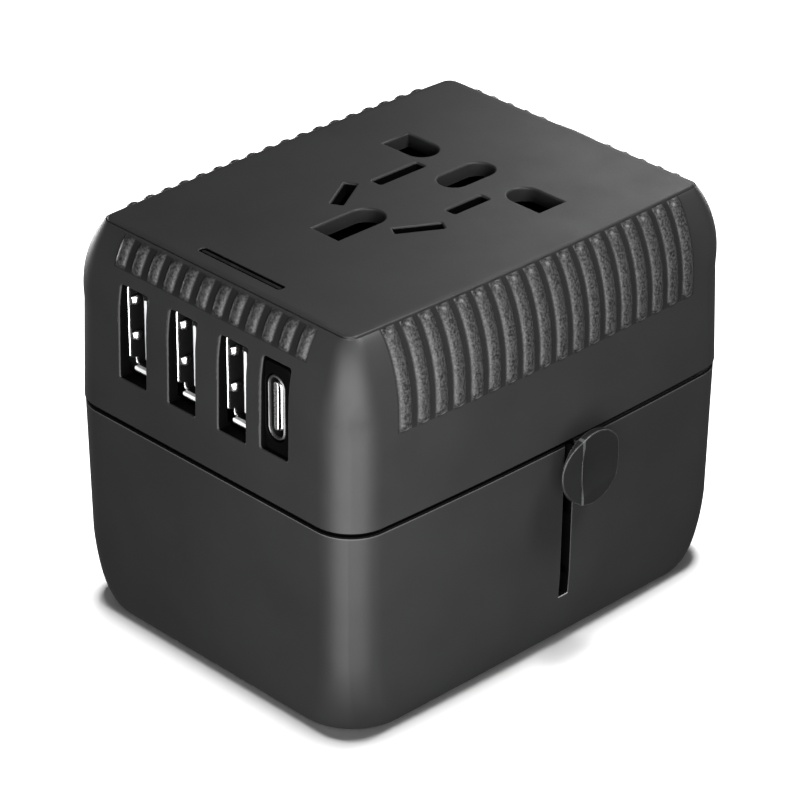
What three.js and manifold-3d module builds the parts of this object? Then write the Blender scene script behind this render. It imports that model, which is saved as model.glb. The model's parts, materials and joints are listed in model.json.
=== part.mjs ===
// Universal travel adapter, in millimetres. +Z is up and the origin is the centre of the underside.
// The USB face looks along -Y. The blade slider is on the +X face, the bar-pin slider on -X, the round-pin
// slider on +Y. The pins are stowed inside the lower shell and slide down through its floor.
import * as THREE from "three";
import { mergeVertices } from "three/addons/utils/BufferGeometryUtils.js";
import Module from "manifold-3d";

const wasm = await Module();
wasm.setup();

// ---------- driving dimensions ----------
const HALF_X = 26.8; // half the casing width at the seam, without the crown of the slider faces
const HALF_Y = 35;
const CORNER = 5.8; // upright corner radius at the seam
const CROWN = 0.6; // how far the slider faces bulge at mid-length
const WALL = 2;
const GAP = 0.3; // clearance between neighbouring pieces

const SEAM_Z = 30.6;
const SEAM_GAP = 0.4;
const LIP_STEP = 0.1; // the lower shell is this much slimmer than the upper one

const SHOULDER_Z = 45.3; // where the upper wall starts to curve in
const CREASE_Z = 56; // where the shoulder meets the flat socket face
const CREASE_INSET = 3.7;
const CREASE_CORNER = 1.7;
const SHOULDER_POWER = 1.6;
const UPPER_DRAFT = 0.024;
const TOP_Z = 56.25;
const ROOF_Z = TOP_Z - WALL;

const HEEL_Z = 10.8; // where the lower wall starts to curve in
const FLOOR_INSET = 2.1;
const FLOOR_CORNER = 8.3;
const LOWER_DRAFT = 0.012;
const FLOOR = 2.2;

const TRAVEL = 19.5; // how far each pin set slides
const RIB_HEIGHT = 0.38;
const RIB_RUNOUT = 0.8; // height over which a rib's lower end rises
const SIDE_RIBS = { count: 18, pitch: 2.99, width: 2, lowEnd: 43 };
const END_RIBS = { count: 12, pitch: 3.04, width: 1.75, lowEnd: 52 };
const BACK_PAD_WIDTH = 7.9;

const SOCKET_X = 0.3; // centre line of the socket pattern
const LIVE = { y: 12.2, radius: 2.3, roundEnd: 9.5, squareEnd: 14.3 }; // round and bar live holes
const BLADE_HOLE = { x: 6.35, y: 5, width: 1.7, leftLength: 8.1, rightLength: 6.4 };
const TWIST_HOLE = { x: 6.86, y: -4.3, width: 1.7, length: 6.5, angle: 30 };
const EARTH_TOP = { low: 6.6, high: 15.5, half: 2.15 };
const EARTH_LOW = { low: -14, high: -4.4, half: 2.4 };
const INDICATOR = { x: 0.1, y: -28, length: 14.8, width: 0.85 };

const PORT_Z = 43.65; // centre height of the USB openings
const USB_A_X = [-13.4, -4.06, 5.35];
const USB_C_X = 13.1;
const USB_A_OPENING = [5.1, 13.1];
const USB_A_INNER = [5.1, 12.5];
const USB_A_MID_Z = 44.35; // the USB-A shells sit a little high behind their openings
const USB_A_FRONT_Y = -33;
const USB_C_OPENING = [4.95, 12.6];
const USB_C_Z = 43.85;
const USB_C_OUTER = [3.16, 8.94];
const USB_C_FRONT_Y = -33.95;
const SHEET = 0.3; // sheet metal of the USB shells
const USB_BOARD_Y = [-19.6, -18];
const BOARD_Z = [33.2, 52.2];

const SLOT_WIDTH = 1.75;
const KNOB_Z = 28.5;
const KNOB_RADIUS = 5.2;
const KNOB = {
  back: 3.5,
  ridge: 4.5,
  ridgeAt: -2.3,
  edge: 6,
  flankEnd: 3.52,
  scoopEnd: 4.05,
  scoopRadius: 13,
  scoopLow: 3.75,
};
const STEM_HALF_HEIGHT = 1.5;
const SLOTS = { us: 3.3, uk: 0, eu: 0 }; // place of each slot along its own face

const CARRIAGE_Z = [22, 28.4];
const CARRIAGE_HALF = 3; // half width of a carriage's arms
const CARRIAGE_END_X = 23.6;
const PIN_TOP_Z = 21.7;
const SHANK_TOP_Z = 28.2;
const SHANK_RADIUS = 1.55;
const SHANK_BORE = 1.75;
const US_PIVOT = [6.6, 3.2];
const US_BLADE = { thickness: 1.5, width: 6.36, z: [2.1, 21], eye: 6, eyeRadius: 1.6 };
const US_FLANGE_RADIUS = 3.4;
const US_SHANK_RADIUS = 1.7;
const US_BORE = 1.9;
const UK_LIVE = [11.1, -10.7];
const UK_EARTH_Y = 11.5;
const UK_LIVE_SIZE = [6.35, 3.97];
const UK_EARTH_SIZE = [3.97, 7.92];
const UK_LIVE_TIP_Z = 1.8;
const PIN_TIP_Z = 0.4;
const EU_PIN = [9.5, 22];
const EU_RADIUS = 2.4;
const PIN_ROOM = 0.37; // clearance round a pin in its floor hole

const SCREW_AT = [19.8, 28];
const TUBE_RADIUS = 3.1;
const SCREW_HEAD = { radius: 2.2, z: [22.4, 24] };
const SCREW_SHANK = { radius: 1.2, z: [23.8, 42] };
const PILOT_RADIUS = 1.4;
const THROAT_RADIUS = 1.5;
const TRAY = { x: 16.4, low: -16, high: 17.2, floor: 32, base: 1.6, top: 50.2, wall: 1 };
const CONTACT_Z = [34, 48];
const LEAF = 0.5; // thickness of a contact's sprung leaf
const STRIP = 0.8; // thickness of a contact's base strip
const SHUTTER = { left: -14.7, right: 15.3, y: [9.2, 18.2], bridgeY: 16.2, z: [51.2, 52.8] };
const SPRING = { y: 18.8, z: 52.1, turns: 4, radius: 1.3, wire: 0.22, length: 6.6 };
const RISER_X = 9.8; // the busbars' risers, through the mid frame and the tray floor

// ---------- materials ----------
function finish(color, roughness, metalness = 0) {
  return new THREE.MeshStandardMaterial({ color, roughness, metalness });
}
const casing = finish(0x2c2d2f, 0.55);
const knobPlastic = finish(0x242527, 0.45);
const innerPlastic = finish(0x18191a, 0.6);
const lightPlastic = finish(0xd8d6cf, 0.6);
const clearPlastic = finish(0x3a3d42, 0.2);
const boardGreen = finish(0x1f5c3a, 0.5);
const steel = finish(0xc9cbcd, 0.28, 1);
const nickel = finish(0xd2cfc6, 0.25, 1);
const brass = finish(0xc79a4b, 0.35, 1);
const copper = finish(0xb26a3a, 0.4, 1);
const ferrite = finish(0x2a2a2c, 0.7);
const capSleeve = finish(0x1d2740, 0.4);
const ceramic = finish(0xe6e2d8, 0.5);

// ---------- solids ----------
const MERGE_DISTANCE = 1e-4;

// A closed geometry as a solid that can be cut and joined.
function solid(geometry) {
  const bare = geometry.clone();
  bare.deleteAttribute("normal");
  bare.deleteAttribute("uv");
  const merged = mergeVertices(bare, MERGE_DISTANCE);
  const triVerts = new Uint32Array(merged.index.array);
  const vertProperties = merged.attributes.position.array;
  return new wasm.Manifold(new wasm.Mesh({ numProp: 3, vertProperties, triVerts }));
}

function geometryOf(made) {
  const mesh = made.getMesh();
  const geometry = new THREE.BufferGeometry();
  geometry.setAttribute("position", new THREE.BufferAttribute(mesh.vertProperties, 3));
  geometry.setIndex(new THREE.BufferAttribute(mesh.triVerts, 1));
  const flat = geometry.toNonIndexed();
  flat.computeVertexNormals();
  return flat;
}

function joined(pieces) {
  return pieces.reduce((whole, piece) => whole.add(piece));
}

function cut(body, cutters) {
  return cutters.reduce((left, cutter) => left.subtract(cutter), body);
}

function node(name, made, material) {
  const mesh = new THREE.Mesh(geometryOf(made), material);
  mesh.name = name;
  return mesh;
}

// A box from its low and high corners.
function block(x, y, z) {
  const box = new THREE.BoxGeometry(x[1] - x[0], y[1] - y[0], z[1] - z[0]);
  return solid(box.translate((x[0] + x[1]) / 2, (y[0] + y[1]) / 2, (z[0] + z[1]) / 2));
}

// An upright round bar.
function rod(x, y, z, radius, sides = 20) {
  const bar = new THREE.CylinderGeometry(radius, radius, z[1] - z[0], sides);
  return solid(bar.rotateX(Math.PI / 2).translate(x, y, (z[0] + z[1]) / 2));
}

// A flat shape raised from one height to another.
function raised(shape, z, curveSegments = 8) {
  const plate = new THREE.ExtrudeGeometry(shape, {
    depth: z[1] - z[0],
    bevelEnabled: false,
    curveSegments,
  });
  return solid(plate.translate(0, 0, z[0]));
}

// A rounded rectangle on the XZ plane, pushed along Y.
function framed(x, z, width, height, radius, y, curveSegments = 2) {
  const shape = roundedRectangle(0, 0, width, height, radius);
  const plate = new THREE.ExtrudeGeometry(shape, {
    depth: y[1] - y[0],
    bevelEnabled: false,
    curveSegments,
  });
  return solid(plate.rotateX(Math.PI / 2).translate(x, y[1], z));
}

function roundedRectangle(x, y, width, height, radius) {
  const [a, b] = [width / 2, height / 2];
  const shape = new THREE.Shape();
  shape.absarc(x + a - radius, y - b + radius, radius, -Math.PI / 2, 0);
  shape.absarc(x + a - radius, y + b - radius, radius, 0, Math.PI / 2);
  shape.absarc(x - a + radius, y + b - radius, radius, Math.PI / 2, Math.PI);
  shape.absarc(x - a + radius, y - b + radius, radius, Math.PI, 1.5 * Math.PI);
  return shape;
}

// A stack of rings with the same number of points, closed by a cap at each end.
function loft(rings) {
  const count = rings[0].length;
  const positions = rings.flat().flatMap((point) => [point.x, point.y, point.z]);
  const index = [];
  for (let level = 0; level + 1 < rings.length; level += 1) {
    for (let i = 0; i < count; i += 1) {
      const a = level * count + i;
      const b = level * count + ((i + 1) % count);
      index.push(a, b, b + count, a, b + count, a + count);
    }
  }
  const last = (rings.length - 1) * count;
  for (let i = 1; i + 1 < count; i += 1) {
    index.push(0, i + 1, i);
    index.push(last, last + i, last + i + 1);
  }
  const geometry = new THREE.BufferGeometry();
  geometry.setAttribute("position", new THREE.Float32BufferAttribute(positions, 3));
  geometry.setIndex(index);
  return solid(geometry);
}

// ---------- the casing's outer form ----------
const mix = THREE.MathUtils.lerp;

// Inset from the seam outline, corner radius and crown at a height of the upper shell.
function upperForm(z) {
  const straight = UPPER_DRAFT * (SHOULDER_Z - SEAM_Z);
  if (z <= SHOULDER_Z) {
    return { inset: UPPER_DRAFT * (z - SEAM_Z), corner: CORNER, crown: CROWN };
  }
  const angle = Math.asin(Math.min(1, (z - SHOULDER_Z) / (CREASE_Z - SHOULDER_Z)));
  const bend = 1 - Math.cos(angle) ** SHOULDER_POWER;
  const share = angle / (Math.PI / 2);
  return {
    inset: mix(straight, CREASE_INSET, bend),
    corner: mix(CORNER, CREASE_CORNER, share),
    crown: CROWN,
  };
}

function lowerForm(z) {
  const straight = LOWER_DRAFT * (SEAM_Z - HEEL_Z);
  if (z >= HEEL_Z) {
    return { inset: LIP_STEP + LOWER_DRAFT * (SEAM_Z - z), corner: CORNER, crown: CROWN };
  }
  const angle = Math.asin((HEEL_Z - z) / HEEL_Z);
  const share = angle / (Math.PI / 2);
  return {
    inset: LIP_STEP + mix(straight, FLOOR_INSET - LIP_STEP, 1 - Math.cos(angle)),
    corner: mix(CORNER, FLOOR_CORNER, share),
    crown: CROWN * (1 - share),
  };
}

// The casing's plan at a height: a rounded rectangle whose slider faces are crowned.
function ring(z, form, arcSteps, sideSteps) {
  const { inset, corner, crown } = form;
  const a = HALF_X - inset - corner;
  const b = HALF_Y - inset - corner;
  const points = [];
  const centres = [
    [a, -b],
    [a, b],
    [-a, b],
    [-a, -b],
  ];
  centres.forEach(([x, y], quarter) => {
    for (let i = 0; i <= arcSteps; i += 1) {
      const angle = ((quarter - 1) * Math.PI) / 2 + (i / arcSteps) * (Math.PI / 2);
      points.push(new THREE.Vector3(x + corner * Math.cos(angle), y + corner * Math.sin(angle), z));
    }
    const side = Math.sign(x);
    for (let i = 1; i < sideSteps && quarter % 2 === 0; i += 1) {
      const along = (2 * i) / sideSteps - 1;
      const bulge = crown * (1 - along * along);
      points.push(new THREE.Vector3(side * (a + corner + bulge), side * along * b, z));
    }
  });
  return points;
}

function shrunk(form, wall) {
  const corner = Math.max(form.corner - wall, 0.8);
  return { inset: form.inset + wall, corner, crown: form.crown };
}

function upperBody() {
  const [sideLow, endLow] = [SIDE_RIBS.lowEnd, END_RIBS.lowEnd];
  const middle = mix(sideLow, CREASE_Z, 0.42);
  const levels = [SEAM_Z + SEAM_GAP / 2, sideLow, sideLow + RIB_RUNOUT, middle];
  levels.push(endLow, endLow + RIB_RUNOUT, mix(endLow, CREASE_Z, 0.7), CREASE_Z);
  const face = { inset: CREASE_INSET + TOP_Z - CREASE_Z, corner: CREASE_CORNER, crown: CROWN };
  const rings = levels.map((z) => ribbedRing(z, upperForm(z)));
  rings.push(ribbedRing(TOP_Z, face));
  const inner = [SEAM_Z - 1, SHOULDER_Z, (SHOULDER_Z + CREASE_Z) / 2, ROOF_Z].map((z) =>
    ring(z, shrunk(upperForm(Math.max(z, SEAM_Z)), WALL), 3, 4),
  );
  return loft(rings).subtract(loft(inner));
}

function lowerBody() {
  const outer = [];
  const heelSteps = 4;
  for (let i = 0; i <= heelSteps; i += 1) {
    outer.push(HEEL_Z - HEEL_Z * Math.cos((i / heelSteps) * (Math.PI / 2)));
  }
  outer.push(SEAM_Z - SEAM_GAP / 2);
  const rings = outer.map((z) => ring(z, lowerForm(z), 5, 4));
  const inner = [FLOOR, HEEL_Z / 2, HEEL_Z, SEAM_Z + 1].map((z) =>
    ring(z, shrunk(lowerForm(Math.min(z, SEAM_Z)), WALL), 3, 4),
  );
  return loft(rings).subtract(loft(inner));
}

// ---------- ribs ----------
function centred(count, pitch) {
  return Array.from({ length: count }, (_, i) => (i - (count - 1) / 2) * pitch);
}

function ribRow({ count, pitch, width }) {
  return centred(count, pitch).map((at) => ({ at, width }));
}

// The back face has a smooth raised pad in place of its three middle ribs.
function backRow() {
  const row = ribRow({ ...END_RIBS, count: END_RIBS.count + 1 });
  const beside = (mark) => Math.abs(mark.at) > 1.5 * END_RIBS.pitch;
  return [
    ...row.filter((mark) => mark.at < 0 && beside(mark)),
    { at: 0, width: BACK_PAD_WIDTH },
    ...row.filter((mark) => mark.at > 0 && beside(mark)),
  ];
}

// The four faces in order round the casing, from the right slider face.
const faces = [
  { turn: 0, half: HALF_X, reach: HALF_Y, bulge: 1, row: ribRow(SIDE_RIBS), lowEnd: SIDE_RIBS.lowEnd },
  { turn: 90, half: HALF_Y, reach: HALF_X, bulge: 0, row: backRow(), lowEnd: END_RIBS.lowEnd },
  { turn: 180, half: HALF_X, reach: HALF_Y, bulge: 1, row: ribRow(SIDE_RIBS), lowEnd: SIDE_RIBS.lowEnd },
  { turn: 270, half: HALF_Y, reach: HALF_X, bulge: 0, row: ribRow(END_RIBS), lowEnd: END_RIBS.lowEnd },
];

// The upper shell's plan at a height, with each rib as a step of four points lifted along the surface normal.
function ribbedRing(z, { inset, corner, crown }) {
  const rise = 0.05;
  const slope = Math.atan2(upperForm(z).inset - upperForm(z - rise).inset, rise);
  const up = new THREE.Vector3(0, 0, 1);
  const arcSteps = 5;
  return faces.flatMap(({ turn, half, reach, bulge, row, lowEnd }) => {
    const [out, side] = [half - inset - corner, reach - inset - corner];
    const at = (x, y, lift) => {
      const point = new THREE.Vector3(x + lift * Math.cos(slope), y, z + lift * Math.sin(slope));
      return point.applyAxisAngle(up, THREE.MathUtils.degToRad(turn));
    };
    const arc = [];
    for (let i = 0; i <= arcSteps; i += 1) {
      const angle = (i / arcSteps - 1) * (Math.PI / 2);
      arc.push(at(out + corner * Math.cos(angle), corner * Math.sin(angle) - side, 0));
    }
    const lift = z > lowEnd && z < TOP_Z ? RIB_HEIGHT : 0;
    const steps = row.flatMap((mark) =>
      [-0.5, -0.3, 0.3, 0.5].map((share) => {
        const along = mark.at + share * mark.width;
        const proud = bulge * crown * (1 - (along / side) ** 2);
        return at(out + corner + proud, along, Math.abs(share) < 0.4 ? lift : 0);
      }),
    );
    return [...arc, ...steps];
  });
}

// ---------- socket pattern ----------
// A live hole: a round end towards the centre and a square end outwards.
function liveHole(side) {
  const { y, radius, roundEnd, squareEnd } = LIVE;
  const shape = new THREE.Shape();
  shape.moveTo(SOCKET_X + side * squareEnd, y - side * radius);
  shape.lineTo(SOCKET_X + side * squareEnd, y + side * radius);
  const last = side > 0 ? 1.5 * Math.PI : Math.PI / 2;
  shape.absarc(SOCKET_X + side * roundEnd, y, radius, (side * Math.PI) / 2, last);
  return shape;
}

function earthHole({ low, high, half }, squareEnd) {
  if (!squareEnd) {
    return roundedRectangle(SOCKET_X, (low + high) / 2, 2 * half, high - low, half - 0.01);
  }
  const shape = new THREE.Shape();
  shape.moveTo(SOCKET_X - half, low);
  shape.lineTo(SOCKET_X + half, low);
  shape.absarc(SOCKET_X, high - half, half, 0, Math.PI);
  return shape;
}

function socketHoles() {
  const z = [ROOF_Z - 1, TOP_Z + 1];
  const { x, y, width, leftLength, rightLength } = BLADE_HOLE;
  const left = roundedRectangle(SOCKET_X - x, y, width, leftLength, 0.3);
  const right = roundedRectangle(SOCKET_X + x, y, width, rightLength, 0.3);
  const shapes = [liveHole(-1), liveHole(1), earthHole(EARTH_TOP, false), earthHole(EARTH_LOW, true)];
  const holes = [...shapes, left, right].map((shape) => raised(shape, z, 6));
  const half = [TWIST_HOLE.width / 2, TWIST_HOLE.length / 2];
  for (const side of [-1, 1]) {
    const slot = block([-half[0], half[0]], [-half[1], half[1]], z);
    const turned = slot.rotate([0, 0, -side * TWIST_HOLE.angle]);
    holes.push(turned.translate([SOCKET_X + side * TWIST_HOLE.x, TWIST_HOLE.y, 0]));
  }
  return holes;
}

// ---------- shells ----------
const corners = [
  [1, -1],
  [1, 1],
  [-1, 1],
  [-1, -1],
].map(([x, y]) => [x * SCREW_AT[0], y * SCREW_AT[1]]);

function upperShell() {
  const intoRoof = ROOF_Z + 0.4;
  const bosses = corners.map(([x, y]) => rod(x, y, [31.5, intoRoof], TUBE_RADIUS, 16));
  const pilots = corners.map(([x, y]) => rod(x, y, [31, SCREW_SHANK.z[1] + 2], PILOT_RADIUS, 10));
  const springEnd = SPRING.y + SPRING.length;
  const springPost = block([-3, 3], [springEnd + 0.6, springEnd + 1.8], [50.8, intoRoof]);
  const through = [-37, -31]; // from outside the USB face to inside its wall
  const pocketY = [USB_A_FRONT_Y - GAP, through[1]];
  const room = 2 * (SHEET + GAP);
  const pockets = USB_A_X.map((x) =>
    framed(x, USB_A_MID_Z, USB_A_INNER[0] + room, USB_A_INNER[1] + room, 0.5, pocketY),
  );
  const openings = USB_A_X.map((x) => framed(x, PORT_Z, USB_A_OPENING[0], USB_A_OPENING[1], 0.35, through));
  const typeC = framed(USB_C_X, USB_C_Z, USB_C_OPENING[0], USB_C_OPENING[1], 0.9, through);
  const slit = roundedRectangle(INDICATOR.x, INDICATOR.y, INDICATOR.length, INDICATOR.width, 0.3);
  const indicator = raised(slit, [ROOF_Z - 1, TOP_Z + 1]);
  const body = joined([upperBody(), ...bosses, springPost]);
  return cut(body, [...pilots, ...pockets, ...openings, typeC, indicator, ...socketHoles()]);
}

// A cutter that reaches outwards from near a face, on the line of that face's knob.
function faceCutter(turn, place, width, inner, z) {
  const cutter = block([inner, 40], [-width / 2, width / 2], z).rotate([0, 0, turn]);
  return cutter.translate(turn === 90 ? [place, 0, 0] : [0, place, 0]);
}

// The three knobs' lines: the turn of the face, the place along it and the casing's half size there.
const knobLines = [
  { turn: 0, place: SLOTS.us, half: HALF_X },
  { turn: 180, place: SLOTS.uk, half: HALF_X },
  { turn: 90, place: SLOTS.eu, half: HALF_Y },
];

function floorHoles() {
  const z = [-1, FLOOR + 1];
  const aroundBar = (x, y, [width, depth]) =>
    raised(roundedRectangle(x, y, width + 2 * PIN_ROOM, depth + 2 * PIN_ROOM, 0.5), z, 2);
  const holes = [aroundBar(0, UK_EARTH_Y, UK_EARTH_SIZE)];
  for (const side of [-1, 1]) {
    holes.push(rod(side * US_PIVOT[0], US_PIVOT[1], z, US_FLANGE_RADIUS + GAP));
    holes.push(rod(side * EU_PIN[0], EU_PIN[1], z, EU_RADIUS + PIN_ROOM));
    holes.push(aroundBar(side * UK_LIVE[0], UK_LIVE[1], UK_LIVE_SIZE));
  }
  return holes;
}

function lowerShell() {
  const seat = SCREW_HEAD.z[1] + GAP;
  const tubes = corners.map(([x, y]) => rod(x, y, [FLOOR - 0.4, 29.3], TUBE_RADIUS, 16));
  const bores = corners.map(([x, y]) => rod(x, y, [-1, seat], SCREW_HEAD.radius + GAP, 16));
  const throats = corners.map(([x, y]) => rod(x, y, [seat - GAP, 30], THROAT_RADIUS, 10));
  const low = KNOB_Z - TRAVEL - STEM_HALF_HEIGHT - 0.25;
  const slots = knobLines.map(({ turn, place, half }) =>
    faceCutter(turn, place, SLOT_WIDTH, half - 7, [low, SEAM_Z + 1]),
  );
  return cut(joined([lowerBody(), ...tubes]), [...bores, ...throats, ...slots, ...floorHoles()]);
}

function midFrame() {
  const form = shrunk(upperForm(SEAM_Z), WALL + GAP);
  const z = [29.6, 31.2];
  const plate = loft(z.map((height) => ring(height, form, 3, 4)));
  const holes = corners.map(([x, y]) => rod(x, y, [29, 32], 1.6, 10));
  for (const side of [-1, 1]) {
    holes.push(riser(side, 0.4, [29, 32]));
  }
  for (const { turn, place, half } of knobLines) {
    holes.push(faceCutter(turn, place, 2.4, half - 3.6, [29, 32]));
  }
  return cut(plate, holes);
}

// ---------- charger ----------
const FUSE = { x: -20.3, y: -12, z: 38, length: 20, cap: 5, capRadius: 2.6, tubeRadius: 2.3 };

function usbAShell(x) {
  const [width, height] = USB_A_INNER;
  const y = [USB_A_FRONT_Y, USB_BOARD_Y[0] - GAP];
  const outer = framed(x, USB_A_MID_Z, width + 2 * SHEET, height + 2 * SHEET, 0.6, y);
  const hollow = framed(x, USB_A_MID_Z, width, height, 0.35, [y[0] - 1, y[1] - 1]);
  return outer.subtract(hollow);
}

function usbATongue(x) {
  const half = 4.7;
  const y = [USB_A_FRONT_Y + 0.45, USB_BOARD_Y[0] - GAP - 1.2];
  return block([x - 0.2, x + 1.64], y, [USB_A_MID_Z - half, USB_A_MID_Z + half]);
}

function usbCBezel() {
  const [width, height] = [USB_C_OPENING[0] - GAP, USB_C_OPENING[1] - GAP];
  const front = USB_C_FRONT_Y - 0.1;
  const plate = framed(USB_C_X, USB_C_Z, width, height, 0.8, [front, front + 1.2]);
  const neck = framed(USB_C_X, USB_C_Z, width, height, 0.8, [front + 1, -31.2]);
  const flange = framed(USB_C_X, USB_C_Z, width + 1.35, height + 1.3, 0.8, [-31.6, -30.9]);
  const room = 0.4;
  const hole = framed(USB_C_X, USB_C_Z, USB_C_OUTER[0] + room, USB_C_OUTER[1] + room, 1.75, [-35, -30], 4);
  return joined([plate, neck, flange]).subtract(hole);
}

function usbCShell() {
  const [width, height] = USB_C_OUTER;
  const y = [USB_C_FRONT_Y, USB_BOARD_Y[0] - GAP];
  const outer = framed(USB_C_X, USB_C_Z, width, height, 1.55, y, 4);
  const inside = [y[0] - 1, y[1] - 1];
  const hollow = framed(USB_C_X, USB_C_Z, width - 2 * SHEET, height - 2 * SHEET, 1.25, inside, 4);
  return outer.subtract(hollow);
}

function usbCTongue() {
  const half = 3.35;
  const y = [USB_C_FRONT_Y + GAP, USB_BOARD_Y[0] - GAP - 1.2];
  return block([USB_C_X - 0.35, USB_C_X + 0.35], y, [USB_C_Z - half, USB_C_Z + half]);
}

function usbBoard() {
  const board = block([-18, 18], USB_BOARD_Y, BOARD_Z);
  return board.subtract(block([-2, 2], [-21, -17], [BOARD_Z[0] - 1, BOARD_Z[0] + 1.2]));
}

function lightPipe() {
  const { x, y, length, width } = INDICATOR;
  const window = raised(roundedRectangle(x, y, length - 0.4, width - 0.35, 0.2), [53.4, TOP_Z - 0.15], 3);
  return window.add(block([-8, 8], [-29.4, -20.6], [52.7, 53.95]));
}

function powerBoard() {
  return block([-16, 16], [18, 19.6], [BOARD_Z[0], 49.8]);
}

function transformerCore() {
  const yoke = block([-14.5, -2.5], [20, 26.6], [34, 47]);
  const window = block([-12.4, -4.6], [19, 28], [36.4, 44.6]);
  return yoke.subtract(window).add(block([-10, -7], [21.6, 25], [36, 45]));
}

function transformerCoil() {
  const outer = block([-12.1, -4.9], [19.9, 26.9], [36.7, 44.3]);
  return outer.subtract(block([-10.3, -6.7], [21.3, 25.3], [36, 45]));
}

function capacitor(x, y, z, radius, length) {
  const profile = [
    [0, 0],
    [radius - 0.4, 0],
    [radius, 0.4],
    [radius, length - 1.6],
    [radius - 0.5, length - 1.2],
    [radius, length - 0.8],
    [radius - 0.4, length],
    [0, length],
  ].map(([r, h]) => new THREE.Vector2(r, h));
  const can = new THREE.LatheGeometry(profile, 14);
  return solid(can.rotateX(Math.PI / 2).translate(x, y, z));
}

function choke() {
  const [rim, waist, flange, height] = [3.1, 2.5, 1.2, 9];
  const profile = [
    [0, 0],
    [rim, 0],
    [rim, flange],
    [waist, flange],
    [waist, height - flange],
    [rim, height - flange],
    [rim, height],
    [0, height],
  ].map(([r, h]) => new THREE.Vector2(r, h));
  const bobbin = new THREE.LatheGeometry(profile, 16);
  return solid(bobbin.rotateX(Math.PI / 2).translate(20.3, -4, 31.5));
}

function fuse() {
  const { x, y, z, length, cap, capRadius, tubeRadius } = FUSE;
  const profile = [
    [0, 0],
    [capRadius, 0],
    [capRadius, cap],
    [tubeRadius, cap],
    [tubeRadius, length - cap],
    [capRadius, length - cap],
    [capRadius, length],
    [0, length],
  ].map(([r, h]) => new THREE.Vector2(r, h));
  const tube = new THREE.LatheGeometry(profile, 14);
  return solid(tube.translate(x, y, z));
}

// A clip whose arms hold one cap of the fuse.
function fuseClip(y) {
  const { x, z, capRadius } = FUSE;
  const [half, thickness, reach] = [3.2, 0.6, 3.4];
  const foot = z - 6.5;
  const along = [y - 1, y + reach + 1];
  const body = block([x - half, x + half], [y, y + reach], [foot, z + 2]);
  const radius = capRadius + 0.25;
  const bore = new THREE.CylinderGeometry(radius, radius, 6, 14).translate(x, y + reach / 2, z);
  const inside = half - thickness;
  const relief = block([x - inside, x + inside], along, [foot + thickness, z - 3.4]);
  const mouth = block([x - 1.8, x + 1.8], along, [z, z + 3]);
  return cut(body, [solid(bore), relief, mouth]);
}

// ---------- sockets and shutter ----------
// The strip end that joins a busbar to its contact, through the mid frame and the tray floor.
function riser(side, room, z) {
  const x = side * RISER_X;
  return block([x - 1 - room, x + 1 + room], [1 - room, 1.6 + room], z);
}

function socketTray() {
  const { x, low, high, floor, base, top, wall } = TRAY;
  const body = block([SOCKET_X - x, SOCKET_X + x], [low, high], [floor, top]);
  const y = [low + wall, high - wall];
  const z = [floor + base, top + 1];
  const middle = 3.6;
  const outer = [middle + wall / 2, x - wall];
  const chambers = [
    block([SOCKET_X + outer[0], SOCKET_X + outer[1]], y, z),
    block([SOCKET_X - outer[1], SOCKET_X - outer[0]], y, z),
    block([SOCKET_X - middle, SOCKET_X + middle], y, z),
  ];
  const passages = [-1, 1].map((side) => riser(side, 0.4, [floor - 1, floor + 3]));
  return cut(body, [...chambers, ...passages]);
}

// Two sprung leaves, one on each side of a hole.
function leaves(x, y, half, gap, turn = 0) {
  const one = block([gap, gap + LEAF], [-half, half], CONTACT_Z);
  const other = block([-gap - LEAF, -gap], [-half, half], CONTACT_Z);
  return [one, other].map((leaf) => leaf.rotate([0, 0, turn]).translate([x, y, 0]));
}

function baseStrip(x, y) {
  return block(x, y, [CONTACT_Z[0], CONTACT_Z[0] + STRIP]);
}

function liveContact(side) {
  const bladeGap = 1.1;
  const x = (at) => SOCKET_X + side * at;
  const bladeLeaves = leaves(x(BLADE_HOLE.x), BLADE_HOLE.y, 2.3, bladeGap);
  const liveLeaves = leaves(x(10.9), LIVE.y, 2.9, LIVE.radius + 0.2, 90);
  const twistLeaves = leaves(x(TWIST_HOLE.x), TWIST_HOLE.y, 2.4, bladeGap, -side * TWIST_HOLE.angle);
  const ends = [x(4.5), x(14.4)].sort((a, b) => a - b);
  return joined([baseStrip(ends, [-8, 15.4]), ...bladeLeaves, ...liveLeaves, ...twistLeaves]);
}

function earthContact() {
  const half = 3.2;
  const base = baseStrip([SOCKET_X - half, SOCKET_X + half], [-13.6, 15]);
  const low = leaves(SOCKET_X, -9.2, 3.4, EARTH_LOW.half + 0.2);
  const high = leaves(SOCKET_X, 11, 3.4, EARTH_LOW.half + 0.2);
  return joined([base, ...low, ...high]);
}

function shutter() {
  const { left, right, y, bridgeY, z } = SHUTTER;
  const flap = 8.5;
  const bridge = block([left, right], [bridgeY, y[1]], z);
  const leftFlap = block([left, left + flap], [y[0], bridgeY + 0.2], z);
  const rightFlap = block([right - flap, right], [y[0], bridgeY + 0.2], z);
  return joined([bridge, leftFlap, rightFlap]);
}

class Coil extends THREE.Curve {
  constructor(turns, radius, length) {
    super();
    Object.assign(this, { turns, radius, length });
  }
  getPoint(t, target = new THREE.Vector3()) {
    const angle = t * this.turns * 2 * Math.PI;
    const [across, up] = [this.radius * Math.cos(angle), this.radius * Math.sin(angle)];
    return target.set(across, this.length * t, up);
  }
}

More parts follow.
